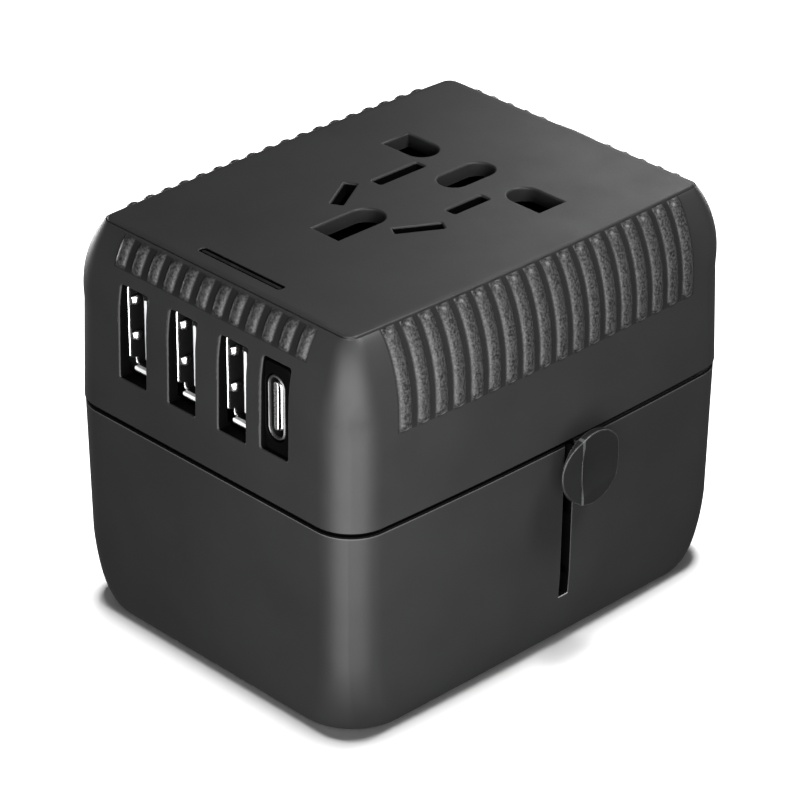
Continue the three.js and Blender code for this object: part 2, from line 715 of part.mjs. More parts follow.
function shutterSpring() {
  const wire = new THREE.Shape();
  const sides = 5;
  for (let i = 0; i < sides; i += 1) {
    const angle = (i / sides) * 2 * Math.PI;
    wire.lineTo(SPRING.wire * Math.cos(angle), SPRING.wire * Math.sin(angle));
  }
  const coil = new THREE.ExtrudeGeometry(wire, {
    steps: 8 * SPRING.turns,
    bevelEnabled: false,
    extrudePath: new Coil(SPRING.turns, SPRING.radius, SPRING.length),
  });
  return solid(coil.translate(0, SPRING.y, SPRING.z));
}

// ---------- conductors of the pin bay ----------
function busbar(side) {
  const strip = (x, y, z) => block(side > 0 ? x : [-x[1], -x[0]], y, z);
  const deck = [28.7, 29.3];
  const leg = [5, deck[1]];
  const x = [8.4, 11.4];
  const [ukLegY, usLegY, euLegY] = [-6.9, 7, 17.6]; // each leg stands beside the pin that it feeds
  const thick = deck[1] - deck[0];
  return joined([
    strip(x, [ukLegY, euLegY + thick], deck),
    strip([5.1, x[0] + 0.2], [usLegY - 0.05, usLegY + thick + 0.05], deck),
    strip([5.1, 8.1], [usLegY, usLegY + thick], leg),
    strip(x, [ukLegY, ukLegY + thick], leg),
    strip(x, [euLegY, euLegY + thick], leg),
    riser(side, 0, [deck[1] - 0.3, CONTACT_Z[0] - GAP]),
  ]);
}

// ---------- pin sets ----------
const PAST_CARRIAGE = [CARRIAGE_Z[0] - 1, CARRIAGE_Z[1] + 1.6];

function screw(x, y) {
  const head = rod(x, y, SCREW_HEAD.z, SCREW_HEAD.radius, 14);
  const shank = rod(x, y, SCREW_SHANK.z, SCREW_SHANK.radius, 10);
  const [long, thin] = [[-1.2, 1.2], [-0.3, 0.3]];
  const depth = [SCREW_HEAD.z[0] - 0.4, SCREW_HEAD.z[0] + 0.8];
  const cross = [block(long, thin, depth), block(thin, long, depth)];
  return cut(head.add(shank), cross.map((slit) => slit.translate([x, y, 0])));
}

function usCarriage() {
  const [x, y] = US_PIVOT;
  const bar = block([-x - 3.6, CARRIAGE_END_X], [y - CARRIAGE_HALF, y + CARRIAGE_HALF], CARRIAGE_Z);
  const holes = [-x, x].map((at) => rod(at, y, PAST_CARRIAGE, US_BORE, 14));
  return cut(bar, holes);
}

function usBlade(side) {
  const [x, y] = [side * US_PIVOT[0], US_PIVOT[1]];
  const { thickness, width, z, eye, eyeRadius } = US_BLADE;
  const blade = block([x - thickness / 2, x + thickness / 2], [y - width / 2, y + width / 2], z);
  const bore = new THREE.CylinderGeometry(eyeRadius, eyeRadius, 4, 14).rotateZ(Math.PI / 2);
  const flange = rod(x, y, [PIN_TOP_Z - 1, PIN_TOP_Z], US_FLANGE_RADIUS, 18);
  const shank = rod(x, y, [PIN_TOP_Z - GAP, SHANK_TOP_Z], US_SHANK_RADIUS, 14);
  return joined([blade, flange, shank]).subtract(solid(bore.translate(x, y, eye)));
}

function ukCarriage() {
  const [liveX, liveY] = UK_LIVE;
  const spine = [-21.5, -16.5];
  const half = CARRIAGE_HALF;
  const body = joined([
    block([spine[0], liveX + 3.8], [liveY - half, liveY + half], CARRIAGE_Z),
    block(spine, [liveY - half, UK_EARTH_Y + half], CARRIAGE_Z),
    block([spine[0], half], [UK_EARTH_Y - half, UK_EARTH_Y + half], CARRIAGE_Z),
    block([-CARRIAGE_END_X, spine[0] + 0.5], [-half, half], CARRIAGE_Z),
  ]);
  const pins = [[liveX, liveY], [-liveX, liveY], [0, UK_EARTH_Y]];
  return cut(body, pins.map(([x, y]) => rod(x, y, PAST_CARRIAGE, SHANK_BORE, 14)));
}

function barPin(x, y, [width, depth], tip) {
  const taper = 0.9;
  const bar = raised(roundedRectangle(x, y, width, depth, 0.4), [tip + 0.6, PIN_TOP_Z], 2);
  const nose = raised(roundedRectangle(x, y, width - taper, depth - taper, 0.3), [tip, tip + 1], 2);
  return joined([bar, nose, rod(x, y, [PIN_TOP_Z - 0.7, SHANK_TOP_Z], SHANK_RADIUS, 14)]);
}

function euCarriage() {
  const [x, y] = EU_PIN;
  const half = CARRIAGE_HALF;
  const body = joined([
    block([-x - 2.8, x + 2.8], [y - half, y + half], CARRIAGE_Z),
    block([-half, half], [y, 31.2], CARRIAGE_Z),
  ]);
  return cut(body, [-x, x].map((at) => rod(at, y, PAST_CARRIAGE, SHANK_BORE, 14)));
}

function roundPin(side) {
  const profile = [
    [0, PIN_TIP_Z],
    [EU_RADIUS - 0.9, PIN_TIP_Z + 0.1],
    [EU_RADIUS - 0.2, PIN_TIP_Z + 0.7],
    [EU_RADIUS, PIN_TIP_Z + 1.8],
    [EU_RADIUS, PIN_TOP_Z],
    [SHANK_RADIUS, PIN_TOP_Z],
    [SHANK_RADIUS, SHANK_TOP_Z],
    [0, SHANK_TOP_Z],
  ].map(([r, h]) => new THREE.Vector2(r, h));
  const pin = new THREE.LatheGeometry(profile, 18).rotateX(Math.PI / 2);
  return solid(pin.translate(side * EU_PIN[0], EU_PIN[1], 0));
}

// A knob on a face that looks along +X: a round disc held off the face, with an upright ridge, one flat
// flank and one scooped flank, on a neck and a thin stem.
function knob() {
  const { back, ridge, ridgeAt, edge, flankEnd, scoopEnd, scoopRadius, scoopLow } = KNOB;
  const disc = new THREE.CylinderGeometry(KNOB_RADIUS, KNOB_RADIUS, 4, 32).rotateZ(Math.PI / 2);
  const face = new THREE.Shape();
  face.moveTo(back, -edge);
  face.lineTo(flankEnd, -edge);
  face.lineTo(ridge, ridgeAt);
  face.lineTo(scoopEnd, edge);
  face.lineTo(back, edge);
  const front = raised(face, [-edge, edge]);
  const reach = 2 * edge;
  const scoop = new THREE.CylinderGeometry(scoopRadius, scoopRadius, reach, 48);
  scoop.translate(scoopLow + scoopRadius, ridgeAt + 0.3 + reach / 2, 0);
  const body = solid(disc.translate(back + 1.9, 0, 0)).intersect(front).subtract(solid(scoop));
  const neck = block([0.5, back + 0.1], [-1, 1], [-STEM_HALF_HEIGHT, STEM_HALF_HEIGHT]);
  const stem = block([-3.5, 0.6], [-0.5, 0.5], [-STEM_HALF_HEIGHT, STEM_HALF_HEIGHT]);
  return joined([body, neck, stem]);
}

function placed(mesh, x, y, z, turn) {
  mesh.position.set(x, y, z);
  mesh.rotation.z = turn;
  return mesh;
}

// ---------- assembly ----------
const adapter = new THREE.Group();
adapter.name = "universal_travel_adapter";
adapter.add(
  node("upper_shell", upperShell(), casing),
  node("lower_shell", lowerShell(), casing),
  node("mid_frame", midFrame(), innerPlastic),
  node("socket_tray", socketTray(), innerPlastic),
  node("line_contact", liveContact(1), brass),
  node("neutral_contact", liveContact(-1), brass),
  node("earth_contact", earthContact(), brass),
  node("line_busbar", busbar(1), brass),
  node("neutral_busbar", busbar(-1), brass),
  node("shutter", shutter(), lightPlastic),
  node("shutter_spring", shutterSpring(), steel),
  node("light_pipe", lightPipe(), clearPlastic),
  node("status_led", block([-1, 1], [-20.6, -19.9], [50.8, 52.2]), ceramic),
  node("usb_board", usbBoard(), boardGreen),
  node("power_board", powerBoard(), boardGreen),
  node("transformer_core", transformerCore(), ferrite),
  node("transformer_coil", transformerCoil(), copper),
  node("bulk_capacitor_1", capacitor(3.4, 24.6, 34, 4.3, 14), capSleeve),
  node("bulk_capacitor_2", capacitor(12.2, 24.6, 34, 4.1, 12), capSleeve),
  node("output_capacitor", capacitor(20.8, 17, 31.6, 3, 11), capSleeve),
  node("choke", choke(), copper),
  node("fuse", fuse(), ceramic),
  node("fuse_clip_1", fuseClip(-11.2), nickel),
  node("fuse_clip_2", fuseClip(3.8), nickel),
  node("usb_c_bezel", usbCBezel(), innerPlastic),
  node("usb_c_shell", usbCShell(), steel),
  node("usb_c_tongue", usbCTongue(), innerPlastic),
);
USB_A_X.forEach((x, i) => {
  adapter.add(node(`usb_a_shell_${i + 1}`, usbAShell(x), steel));
  adapter.add(node(`usb_a_tongue_${i + 1}`, usbATongue(x), innerPlastic));
});
corners.forEach(([x, y], i) => {
  adapter.add(node(`screw_${i + 1}`, screw(x, y), steel));
});

const usSet = new THREE.Group();
usSet.add(
  node("us_carriage", usCarriage(), innerPlastic),
  node("us_blade_line", usBlade(1), nickel),
  node("us_blade_neutral", usBlade(-1), nickel),
  placed(node("us_knob", knob(), knobPlastic), HALF_X + CROWN - 0.1, SLOTS.us, KNOB_Z, 0),
);
const ukSet = new THREE.Group();
ukSet.add(
  node("uk_carriage", ukCarriage(), innerPlastic),
  node("uk_pin_line", barPin(UK_LIVE[0], UK_LIVE[1], UK_LIVE_SIZE, UK_LIVE_TIP_Z), nickel),
  node("uk_pin_neutral", barPin(-UK_LIVE[0], UK_LIVE[1], UK_LIVE_SIZE, UK_LIVE_TIP_Z), nickel),
  node("uk_pin_earth", barPin(0, UK_EARTH_Y, UK_EARTH_SIZE, PIN_TIP_Z), nickel),
  placed(node("uk_knob", knob(), knobPlastic), 0.1 - HALF_X - CROWN, SLOTS.uk, KNOB_Z, Math.PI),
);
const euSet = new THREE.Group();
euSet.add(
  node("eu_carriage", euCarriage(), innerPlastic),
  node("eu_pin_line", roundPin(1), nickel),
  node("eu_pin_neutral", roundPin(-1), nickel),
  placed(node("eu_knob", knob(), knobPlastic), SLOTS.eu, HALF_Y - 0.1, KNOB_Z, Math.PI / 2),
);
adapter.add(usSet, ukSet, euSet);

export default adapter;
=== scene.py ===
"""Looks of a universal travel adapter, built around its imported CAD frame.

Forms are worked out in millimetres in the part's own frame (+Z up, origin at the centre of the underside,
USB face along -Y) and become metres when a mesh is made. Each detailed piece stands for a CAD node and rides
on its body.
"""

import json
import math
from collections import namedtuple
from functools import partial

import bmesh
import bpy
from mathutils import Matrix, Vector


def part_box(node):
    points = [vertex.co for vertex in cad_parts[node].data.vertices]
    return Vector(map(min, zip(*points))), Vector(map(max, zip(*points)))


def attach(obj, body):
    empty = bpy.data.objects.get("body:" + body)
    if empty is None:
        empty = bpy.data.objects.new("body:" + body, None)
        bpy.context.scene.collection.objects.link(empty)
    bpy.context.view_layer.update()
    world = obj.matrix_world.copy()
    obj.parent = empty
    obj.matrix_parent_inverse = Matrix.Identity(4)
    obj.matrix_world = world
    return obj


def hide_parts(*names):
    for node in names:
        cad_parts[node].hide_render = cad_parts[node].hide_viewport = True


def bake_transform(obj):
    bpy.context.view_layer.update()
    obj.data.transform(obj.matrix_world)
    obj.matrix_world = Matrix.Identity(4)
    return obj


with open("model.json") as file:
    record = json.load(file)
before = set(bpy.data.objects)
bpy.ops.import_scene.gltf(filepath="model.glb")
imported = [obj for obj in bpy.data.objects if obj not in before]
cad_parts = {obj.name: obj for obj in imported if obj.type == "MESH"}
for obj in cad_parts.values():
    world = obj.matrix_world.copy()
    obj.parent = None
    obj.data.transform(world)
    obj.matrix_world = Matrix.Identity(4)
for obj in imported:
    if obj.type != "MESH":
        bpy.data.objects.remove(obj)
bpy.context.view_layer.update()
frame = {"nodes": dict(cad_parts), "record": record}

# ---------- driving dimensions, in millimetres ----------
MM = 0.001
QUARTER = math.pi / 2


def mm_box(node):
    """A CAD node's lowest and highest corner."""
    low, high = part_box(node)
    return low / MM, high / MM


def middle_of(node):
    low, high = mm_box(node)
    return (low + high) / 2


CORNER = 5.8  # upright corner radius at the seam
CROWN = 0.6  # how far the slider faces bulge at mid-length
WALL = 2.0
LIP_STEP = 0.1  # the lower shell is this much slimmer than the upper one
UPPER_LOW, _ = mm_box("upper_shell")
_, LOWER_HIGH = mm_box("lower_shell")
HALF_X = LOWER_HIGH.x - CROWN + LIP_STEP
HALF_Y = LOWER_HIGH.y + LIP_STEP
SEAM_Z = (UPPER_LOW.z + LOWER_HIGH.z) / 2

SHOULDER_Z = 45.3  # where the upper wall starts to curve in
CREASE_Z = 56.0  # where the shoulder meets the flat socket face
TOP_Z = CREASE_Z + 0.25
CREASE_INSET = 3.7
CREASE_CORNER = 1.7
SHOULDER_POWER = 1.6
UPPER_DRAFT = 0.024
HEEL_Z = 10.8  # where the lower wall starts to curve in
FLOOR_INSET = 2.1
FLOOR_CORNER = 8.3
LOWER_DRAFT = 0.012
FLOOR = 2.2

RIB_HEIGHT = 0.52
SIDE_RIB_TOP = 0.1  # a side face's rib would come down to nothing this far past the crease
END_RIB_TOP = -0.35  # an end face's rib comes down to nothing this far short of it
SIDE_RIBS = {"count": 18, "pitch": 2.99, "width": 2.2}
END_RIBS = {"count": 12, "pitch": 3.04, "width": 1.95}
SIDE_RIB_LOW_Z = 43.0
END_RIB_LOW_Z = 52.0
BACK_PAD_WIDTH = 7.9
RIB_COLUMNS = (-0.3, -0.12, 0, 0.04, 0.1, 0.2, 0.32, 0.46, 0.64)  # inwards from a rib's foot
BEYOND_RIBS = (0.2, 0.4)  # outwards from the feet of a face's first and last rib
GROOVE_SHADE_REACH = 0.5  # how far the painted groove shade goes from a rib's foot
LAST_GROOVE_SHADE_REACH = 0.1  # and beyond the first and last rib
# The worn edge between the shoulder and the flat face, as (distance inwards, height over the crease).
CREASE_STEPS = ((0.1, -0.14), (0.2, -0.14), (0.26, 0.1), (0.34, 0.21), (0.46, 0.25), (1.2, 0.25))
UPPER_RIM = 0.15  # radius of the upper shell's lower edge
LOWER_RIM = 0.16  # radius of the lower shell's upper edge
UPPER_SHADE_BAND = 0.2  # the band of painted shade for the gap, on the upper shell's side of the joint line
LOWER_SHADE_BAND = 0.23  # and on the lower shell's side
RIM_HIGHLIGHT_BAND = (0.27, 0.36)  # the painted highlight line below the lower shell's upper edge, from and to

SOCKET_X = 0.3  # centre line of the socket pattern
LIVE_Y = 12.2
HOLE_RIM = 0.28  # radius of the round edge at a socket hole's mouth
HOLE_DEPTH = WALL + 1.5
FAR_EARTH = (6.6, 15.5, 2.15)  # the earth holes' lower end, upper end and half width
NEAR_EARTH = (-14.0, -4.4, 2.4)
FLAT_BLADE_X = 6.35  # half the spacing of the upright flat-blade slots
FLAT_BLADE_Y = 5.0
ANGLED_BLADE_X = 6.86
ANGLED_BLADE_Y = -4.3
BLADE_SLOT = 1.7  # width of every flat-blade slot
INDICATOR = (15.0, 1.25)
INDICATOR_PLACE = (0.1, -28)
INDICATOR_RIM = 0.1
PORT_Z = 43.65
PORT_DEPTH = 4.0
PORT_RIM = 0.22
USB_A_OPENING = (5.1, 13.1)
USB_A_POCKET = (6.3, 13.7)
USB_C_OPENING = (5.0, 12.7)
USB_C_RISE = 0.4  # the USB-C opening's middle over the others'
SLOT_WIDTH = 1.75
SLOT_LOW_Z = 7.25
SLOT_DEPTH = 6.0
SLOT_RIM = 0.12
SCREW_TUBE_RADIUS = 3.1
SCREW_TUBE_TOP = 29.3  # of the lower shell's tubes
SCREW_HOLE_RADIUS = 1.4
SCREW_HOLE_TOP = 44.0
SCREW_BORE_RADIUS = 2.5  # room for a screw's head, from the floor up
SCREW_THROAT_RADIUS = 1.5  # room for its shank above that
SCREW_THROAT = (24, 30)
TURNING_BLADE_RADIUS = 3.7  # of the round floor hole that a turning blade comes out of
FLOOR_RIM = 0.3  # radius of the round edge at a pin hole's mouth

USB_A_PORTS = (1, 2, 3)
SCREWS = (1, 2, 3, 4)
EU_PINS = ("eu_pin_line", "eu_pin_neutral")
UK_PINS = ("uk_pin_line", "uk_pin_neutral", "uk_pin_earth")
US_BLADES = ("us_blade_line", "us_blade_neutral")


# ---------- outlines, as lists of points in the plane ----------
def lerp(a, b, t):
    return a + (b - a) * t


def arc(x, y, radius, start, end, steps):
    """Points on an arc, its angles in degrees."""
    angles = [math.radians(lerp(start, end, i / steps)) for i in range(steps + 1)]
    return [(x + radius * math.cos(a), y + radius * math.sin(a)) for a in angles]


def circle(x, y, radius, steps=40):
    return arc(x, y, radius, 0, 360, steps)[:-1]


def rounded_rectangle(x, y, width, height, radius, steps=5):
    a, b = width / 2 - radius, height / 2 - radius
    points = []
    for quarter, (cx, cy) in enumerate(((a, -b), (a, b), (-a, b), (-a, -b))):
        start = (quarter - 1) * 90
        points += arc(x + cx, y + cy, radius, start, start + 90, steps)
    return points


def subdivided(outline, step):
    """The outline with extra points, so that no edge is longer than the step."""
    points = []
    for here, there in zip(outline, outline[1:] + outline[:1]):
        parts = max(1, math.ceil(math.dist(here, there) / step))
        for i in range(parts):
            points.append((lerp(here[0], there[0], i / parts), lerp(here[1], there[1], i / parts)))
    return points


def edge_normal(start, end):
    length = math.dist(start, end) or 1.0
    return (end[1] - start[1]) / length, (start[0] - end[0]) / length


def grown(outline, by):
    """An anticlockwise outline moved outwards by a distance, its corners kept square."""
    points = []
    for before, here, after in zip(outline[-1:] + outline[:-1], outline, outline[1:] + outline[:1]):
        (px, py), (qx, qy) = edge_normal(before, here), edge_normal(here, after)
        reach = by / max(0.25, 1 + px * qx + py * qy)
        points.append((here[0] + (px + qx) * reach, here[1] + (py + qy) * reach))
    return points


# ---------- stacks of rings, which become closed solids ----------
def hole(outline, place, deep, rim, steps=4):
    """A hole's solid, which opens at its mouth with a round edge.
    place(u, v, out) puts an outline point in space."""
    profile = [(-deep, 0.0)]
    for i in range(steps + 1):
        angle = i / steps * QUARTER
        profile.append((rim * (math.sin(angle) - 1), rim * (1 - math.cos(angle))))
    profile.append((1.0, rim))
    return [[place(u, v, out) for u, v in grown(outline, by)] for out, by in profile]


def bar(outline, place, low, high, edge=0.0):
    """A bar of that outline from one height to another, with a round edge of that radius at its low end."""
    turns = [share * QUARTER for share in (0, 1 / 3, 2 / 3, 1)] if edge else [QUARTER]
    profile = [(low + edge * (1 - math.cos(t)), edge * (math.sin(t) - 1)) for t in turns]
    profile.append((high, 0.0))
    return [[place(u, v, out) for u, v in grown(outline, by)] for out, by in profile]


def lathe(profile, x, y, steps=48):
    """Rings of a turned piece from (radius, height) points."""
    turns = [i / steps * 2 * math.pi for i in range(steps)]
    return [[(x + r * math.cos(t), y + r * math.sin(t), z) for t in turns] for r, z in profile]


def mesh_from(name, stacks, closed=False, shaded_bands=0):
    """One object from stacks of rings. A stack is capped at both ends, or joined end to end where closed.
    The first so many shaded bands of each stack take the second material, which paints shade on them."""
    made = bmesh.new()
    for rings in stacks:
        rows = [[made.verts.new(Vector(point) * MM) for point in ring] for ring in rings]
        pairs = list(zip(rows, rows[1:]))
        if closed:
            pairs.append((rows[-1], rows[0]))
        else:
            made.faces.new(rows[0][::-1]).material_index = int(shaded_bands > 0)
            made.faces.new(rows[-1]).material_index = int(shaded_bands >= len(pairs))
        for band, (low, high) in enumerate(pairs):
            for i, corner in enumerate(low):
                j = (i + 1) % len(low)
                face = made.faces.new((corner, low[j], high[j], high[i]))
                face.material_index = int(band < shaded_bands)
    bmesh.ops.remove_doubles(made, verts=made.verts, dist=1e-8)
    bmesh.ops.recalc_face_normals(made, faces=made.faces)
    mesh = bpy.data.meshes.new(name)
    made.to_mesh(mesh)
    made.free()
    piece = bpy.data.objects.new(name, mesh)
    bpy.context.scene.collection.objects.link(piece)
    return piece


def settle(piece):
    """Makes what the piece's modifiers do part of its mesh."""
    bpy.context.view_layer.update()
    graph = bpy.context.evaluated_depsgraph_get()
    mesh = bpy.data.meshes.new_from_object(piece.evaluated_get(graph))
    piece.modifiers.clear()
    piece.data = mesh


def carve(piece, stacks, operation="DIFFERENCE", shaded_bands=0):
    """Takes the stacks' solids out of a piece, or adds them. Their shaded bands take its second material,
    which paints shade on them.
    """
    tool = mesh_from("tool", stacks, shaded_bands=shaded_bands)
    for material in piece.data.materials:
        tool.data.materials.append(material)
    modifier = piece.modifiers.new("carve", "BOOLEAN")
    modifier.operation = operation
    modifier.solver = "MANIFOLD"
    modifier.object = tool
    settle(piece)
    bpy.data.objects.remove(tool)


def dressed(piece, *materials, angle=32):
    """Smooth shading up to that angle, flat faces kept flat, and the piece's materials."""
    piece.data.shade_smooth()
    piece.data.set_sharp_from_angle(angle=math.radians(angle))
    weighted = piece.modifiers.new("weighted", "WEIGHTED_NORMAL")
    weighted.keep_sharp = True
    held = piece.data.materials
    for slot, material in enumerate(materials):
        if slot < len(held):
            held[slot] = material
        else:
            held.append(material)
    return piece


BODIES = frame["record"]["behaviour"]["bodies"]
BODY_OF = {node: body for body, nodes in BODIES.items() for node in nodes}
SLOT_OF = {part["node"]: part["material_slot"] for part in frame["record"]["subparts"]}


def stand_for(piece, node):
    """Puts a piece in a CAD node's place, on the node's body."""
    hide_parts(node)
    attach(piece, BODY_OF[node])


# ---------- materials ----------
class Surface:
    """A material in the making. Its textures follow the object, and their sizes are in millimetres."""

    def __init__(self, name, metallic=0.0, gloss=0.5):
        self.material = bpy.data.materials.new(name)
        self.material.use_nodes = True
        self.tree = self.material.node_tree
        self.shader = self.tree.nodes["Principled BSDF"]
        self.shader.inputs["Metallic"].default_value = metallic
        self.shader.inputs["Specular IOR Level"].default_value = gloss
        self.coordinates = self.node("ShaderNodeTexCoord").outputs["Object"]
        self.normal = None

    def node(self, kind, inputs=None, **settings):
        made = self.tree.nodes.new(kind)
        for key, value in settings.items():
            setattr(made, key, value)
        for key, value in (inputs or {}).items():
            if isinstance(value, bpy.types.NodeSocket):
                self.tree.links.new(value, made.inputs[key])
            else:
                made.inputs[key].default_value = value
        return made

    def noise(self, size, detail=2.0, stretch=(1, 1, 1)):
        scale = [share / (size * MM) for share in stretch]
        placed = self.node("ShaderNodeMapping", {"Vector": self.coordinates, "Scale": scale})
        inputs = {"Vector": placed.outputs[0], "Scale": 1.0, "Detail": detail}
        return self.node("ShaderNodeTexNoise", inputs).outputs[0]

    def ranged(self, value, low, high, to_low=0.0, to_high=1.0):
        inputs = {0: value, 1: low, 2: high, 3: to_low, 4: to_high}
        return self.node("ShaderNodeMapRange", inputs).outputs[0]

    def maths(self, operation, a, b):
        return self.node("ShaderNodeMath", {0: a, 1: b}, operation=operation).outputs[0]

    def blend(self, factor, a, b):
        return self.node("ShaderNodeMix", {0: factor, 6: a, 7: b}, data_type="RGBA").outputs[2]

    def edges(self, radius, patch_size):
        """How far a point lies on an edge, from 0 to 1, broken up in patches."""
        rounded = self.node("ShaderNodeBevel", {"Radius": radius * MM}, samples=4).outputs[0]
        face = self.node("ShaderNodeNewGeometry").outputs["Normal"]
        facing = self.node("ShaderNodeVectorMath", {0: rounded, 1: face}, operation="DOT_PRODUCT")
        edge = self.ranged(facing.outputs["Value"], 0.995, 0.9)
        patches = self.ranged(self.noise(patch_size), 0.3, 0.6, 0.35, 1.0)
        return self.maths("MULTIPLY", edge, patches)

    def relief(self, height, depth):
        """A bump of that depth in millimetres, on top of the bumps before it."""
        inputs = {"Height": height, "Distance": depth * MM, "Strength": 1.0}
        if self.normal is not None:
            inputs["Normal"] = self.normal
        self.normal = self.node("ShaderNodeBump", inputs).outputs[0]

    def done(self, color, roughness):
        for key, value in (("Base Color", color), ("Roughness", roughness), ("Normal", self.normal)):
            if value is not None:
                self.tree.links.new(value, self.shader.inputs[key])
        return self.material


def grey(value, warmth=0.0):
    return (value * (1 + warmth), value, value * (1 - warmth), 1)


def plastic(name, tone, roughness, grain=0.12, relief=0.004, wear=1.5, gloss=0.25):
    """Moulded plastic: a fine spark-eroded grain, handled patches and edges paler by the wear factor: slight
    polish, and on the knob a painted highlight along its rims.
    """
    patch = 9.0
    surface = Surface(name, gloss=gloss)
    shade = surface.ranged(surface.noise(patch, 3), 0.35, 0.65)
    color = surface.blend(shade, grey(tone * 0.9, -0.01), grey(tone * 1.1, -0.02))
    edge = surface.edges(0.25, 1.5)
    color = surface.blend(edge, color, grey(tone * wear))
    specks = surface.noise(grain, 2)
    base = surface.ranged(surface.noise(patch * 0.4, 4), 0.3, 0.7, roughness - 0.04, roughness + 0.04)
    rough = surface.maths("ADD", base, surface.ranged(specks, 0.3, 0.7, -0.03, 0.03))
    rough = surface.maths("SUBTRACT", rough, surface.maths("MULTIPLY", edge, 0.08))
    surface.relief(specks, relief)
    surface.relief(surface.noise(grain * 6, 2), relief * 1.5)
    return surface.done(color, rough)


def casing_plastic():
    """The shells' plastic. Attributes mark the ribs, with their coarse mottled grain, painted shade in the
    grooves beside their feet, and painted highlights at the ribs' lower tips, the slots' lower ends and the
    lower shell's upper edge."""
    tone = 0.015
    surface = Surface("casing_plastic", gloss=0.25)
    eroded, foot, tip = (
        surface.node("ShaderNodeAttribute", attribute_name=name).outputs["Fac"]
        for name in ("eroded", "foot", "tip")
    )
    shade = surface.ranged(surface.noise(14, 3), 0.35, 0.65)
    color = surface.blend(shade, grey(tone * 0.92), grey(tone * 1.08, -0.015))
    coarse = surface.noise(0.28, 3)
    mottled = surface.blend(surface.ranged(coarse, 0.38, 0.62), grey(tone * 0.45), grey(tone * 2.5))
    color = surface.blend(eroded, color, mottled)
    edge = surface.edges(0.3, 2.0)
    color = surface.blend(edge, color, grey(tone * 1.8))
    # Painted shade in the grooves between the ribs.
    color = surface.blend(surface.maths("MULTIPLY", foot, 0.9), color, grey(tone * 0.08))
    # Painted highlights at the ribs' lower tips, the slots' lower ends and the lower shell's upper edge.
    color = surface.blend(tip, color, grey(tone * 20))
    specks = surface.noise(0.2, 2)
    smooth = surface.ranged(surface.noise(6, 4), 0.3, 0.7, 0.46, 0.52)
    rough = surface.maths("ADD", smooth, surface.ranged(specks, 0.3, 0.7, -0.03, 0.03))
    rough = surface.maths("SUBTRACT", rough, surface.maths("MULTIPLY", eroded, 0.08))
    rough = surface.maths("ADD", rough, surface.maths("MULTIPLY", foot, 0.4))
    surface.relief(specks, 0.0015)
    surface.relief(surface.maths("MULTIPLY", coarse, eroded), 0.03)
    return surface.done(color, rough)


def metal(name, color, roughness, brushed=(1, 1, 1), wear=0.7):
    """Plated or bare metal with fine drawn lines, finger marks and darker, rubbed patches."""
    surface = Surface(name, metallic=1.0)
    marks = surface.ranged(surface.noise(2.2, 4), 0.35, 0.7)
    dull = tuple(channel * wear for channel in color) + (1,)
    tinted = surface.blend(marks, tuple(color) + (1,), dull)
    lines = surface.noise(0.12, 3, brushed)
    drawn = surface.ranged(lines, 0.3, 0.7, 0, 0.12)
    rough = surface.maths("ADD", drawn, surface.ranged(marks, 0, 1, roughness, roughness + 0.1))
    surface.relief(lines, 0.003)
    return surface.done(tinted, rough)


def window_plastic():
    """The dark, glossy plastic of the indicator window."""
    surface = Surface("window_plastic", gloss=0.2)
    cloud = surface.ranged(surface.noise(1.5, 3), 0.3, 0.7)
    color = surface.blend(cloud, grey(0.004), grey(0.01, -0.05))
    surface.relief(surface.noise(0.3), 0.002)
    return surface.done(color, surface.ranged(cloud, 0, 1, 0.12, 0.22))


def board_lacquer():
    """A circuit board's green lacquer over its tracks."""
    surface = Surface("board_lacquer")
    inputs = {"Vector": surface.coordinates, "Scale": 400.0, "Mortar Size": 0.05}
    tracks = surface.node("ShaderNodeTexBrick", inputs).outputs["Fac"]
    color = surface.blend(tracks, (0.01, 0.09, 0.035, 1), (0.03, 0.2, 0.08, 1))
    surface.relief(tracks, 0.03)
    return surface.done(color, surface.ranged(surface.noise(3), 0.3, 0.7, 0.25, 0.4))


def wound_copper():
    """Turns of enamelled wire, one above the other."""
    surface = Surface("wound_copper", metallic=1.0)
    inputs = {"Vector": surface.coordinates, "Scale": 500.0, "Distortion": 0.4}
    turns = surface.node("ShaderNodeTexWave", inputs, bands_direction="Z").outputs["Fac"]
    color = surface.blend(turns, (0.2, 0.06, 0.02, 1), (0.62, 0.27, 0.12, 1))
    surface.relief(turns, 0.15)
    return surface.done(color, surface.ranged(turns, 0, 1, 0.5, 0.28))


STEEL = (0.56, 0.57, 0.58)
NICKEL = (0.78, 0.77, 0.75)
BRASS = (0.74, 0.5, 0.2)

MATERIALS = {
    "casing": casing_plastic(),
    # wear=14 makes the knob's edges a painted highlight along its rims.
    "knob": plastic("knob_plastic", 0.008, 0.34, relief=0.003, wear=14, gloss=0.2),
    "inner_plastic": plastic("inner_plastic", 0.006, 0.5, gloss=0.25),
    "brass": metal("brass_strip", BRASS, 0.25),
    "shutter": plastic("shutter_plastic", 0.014, 0.45),
    "spring_steel": metal("spring_steel", STEEL, 0.25),
    "port_metal": metal("port_nickel", (0.9, 0.9, 0.9), 0.16, wear=0.85),
    "window": window_plastic(),
    "led": plastic("led_resin", 0.6, 0.2, wear=1.1),
    "board": board_lacquer(),
    "ferrite": plastic("ferrite", 0.03, 0.6, grain=0.4, relief=0.03),
    "copper": wound_copper(),
    "capacitor_sleeve": plastic("capacitor_sleeve", 0.02, 0.25, relief=0.002),
    "fuse_body": plastic("fuse_ceramic", 0.6, 0.3, wear=1.1),
    "pin_metal": metal("pin_nickel", NICKEL, 0.18, brushed=(1, 1, 0.06)),
}
# A much darker copy of the casing plastic: painted shade in hollows, hole walls, slots, the gap at the joint
# line, the knobs' necks and the USB-C plate.
CASING_PAINTED_SHADE = plastic("casing_painted_shade", 0.0015, 0.6, gloss=0.02)
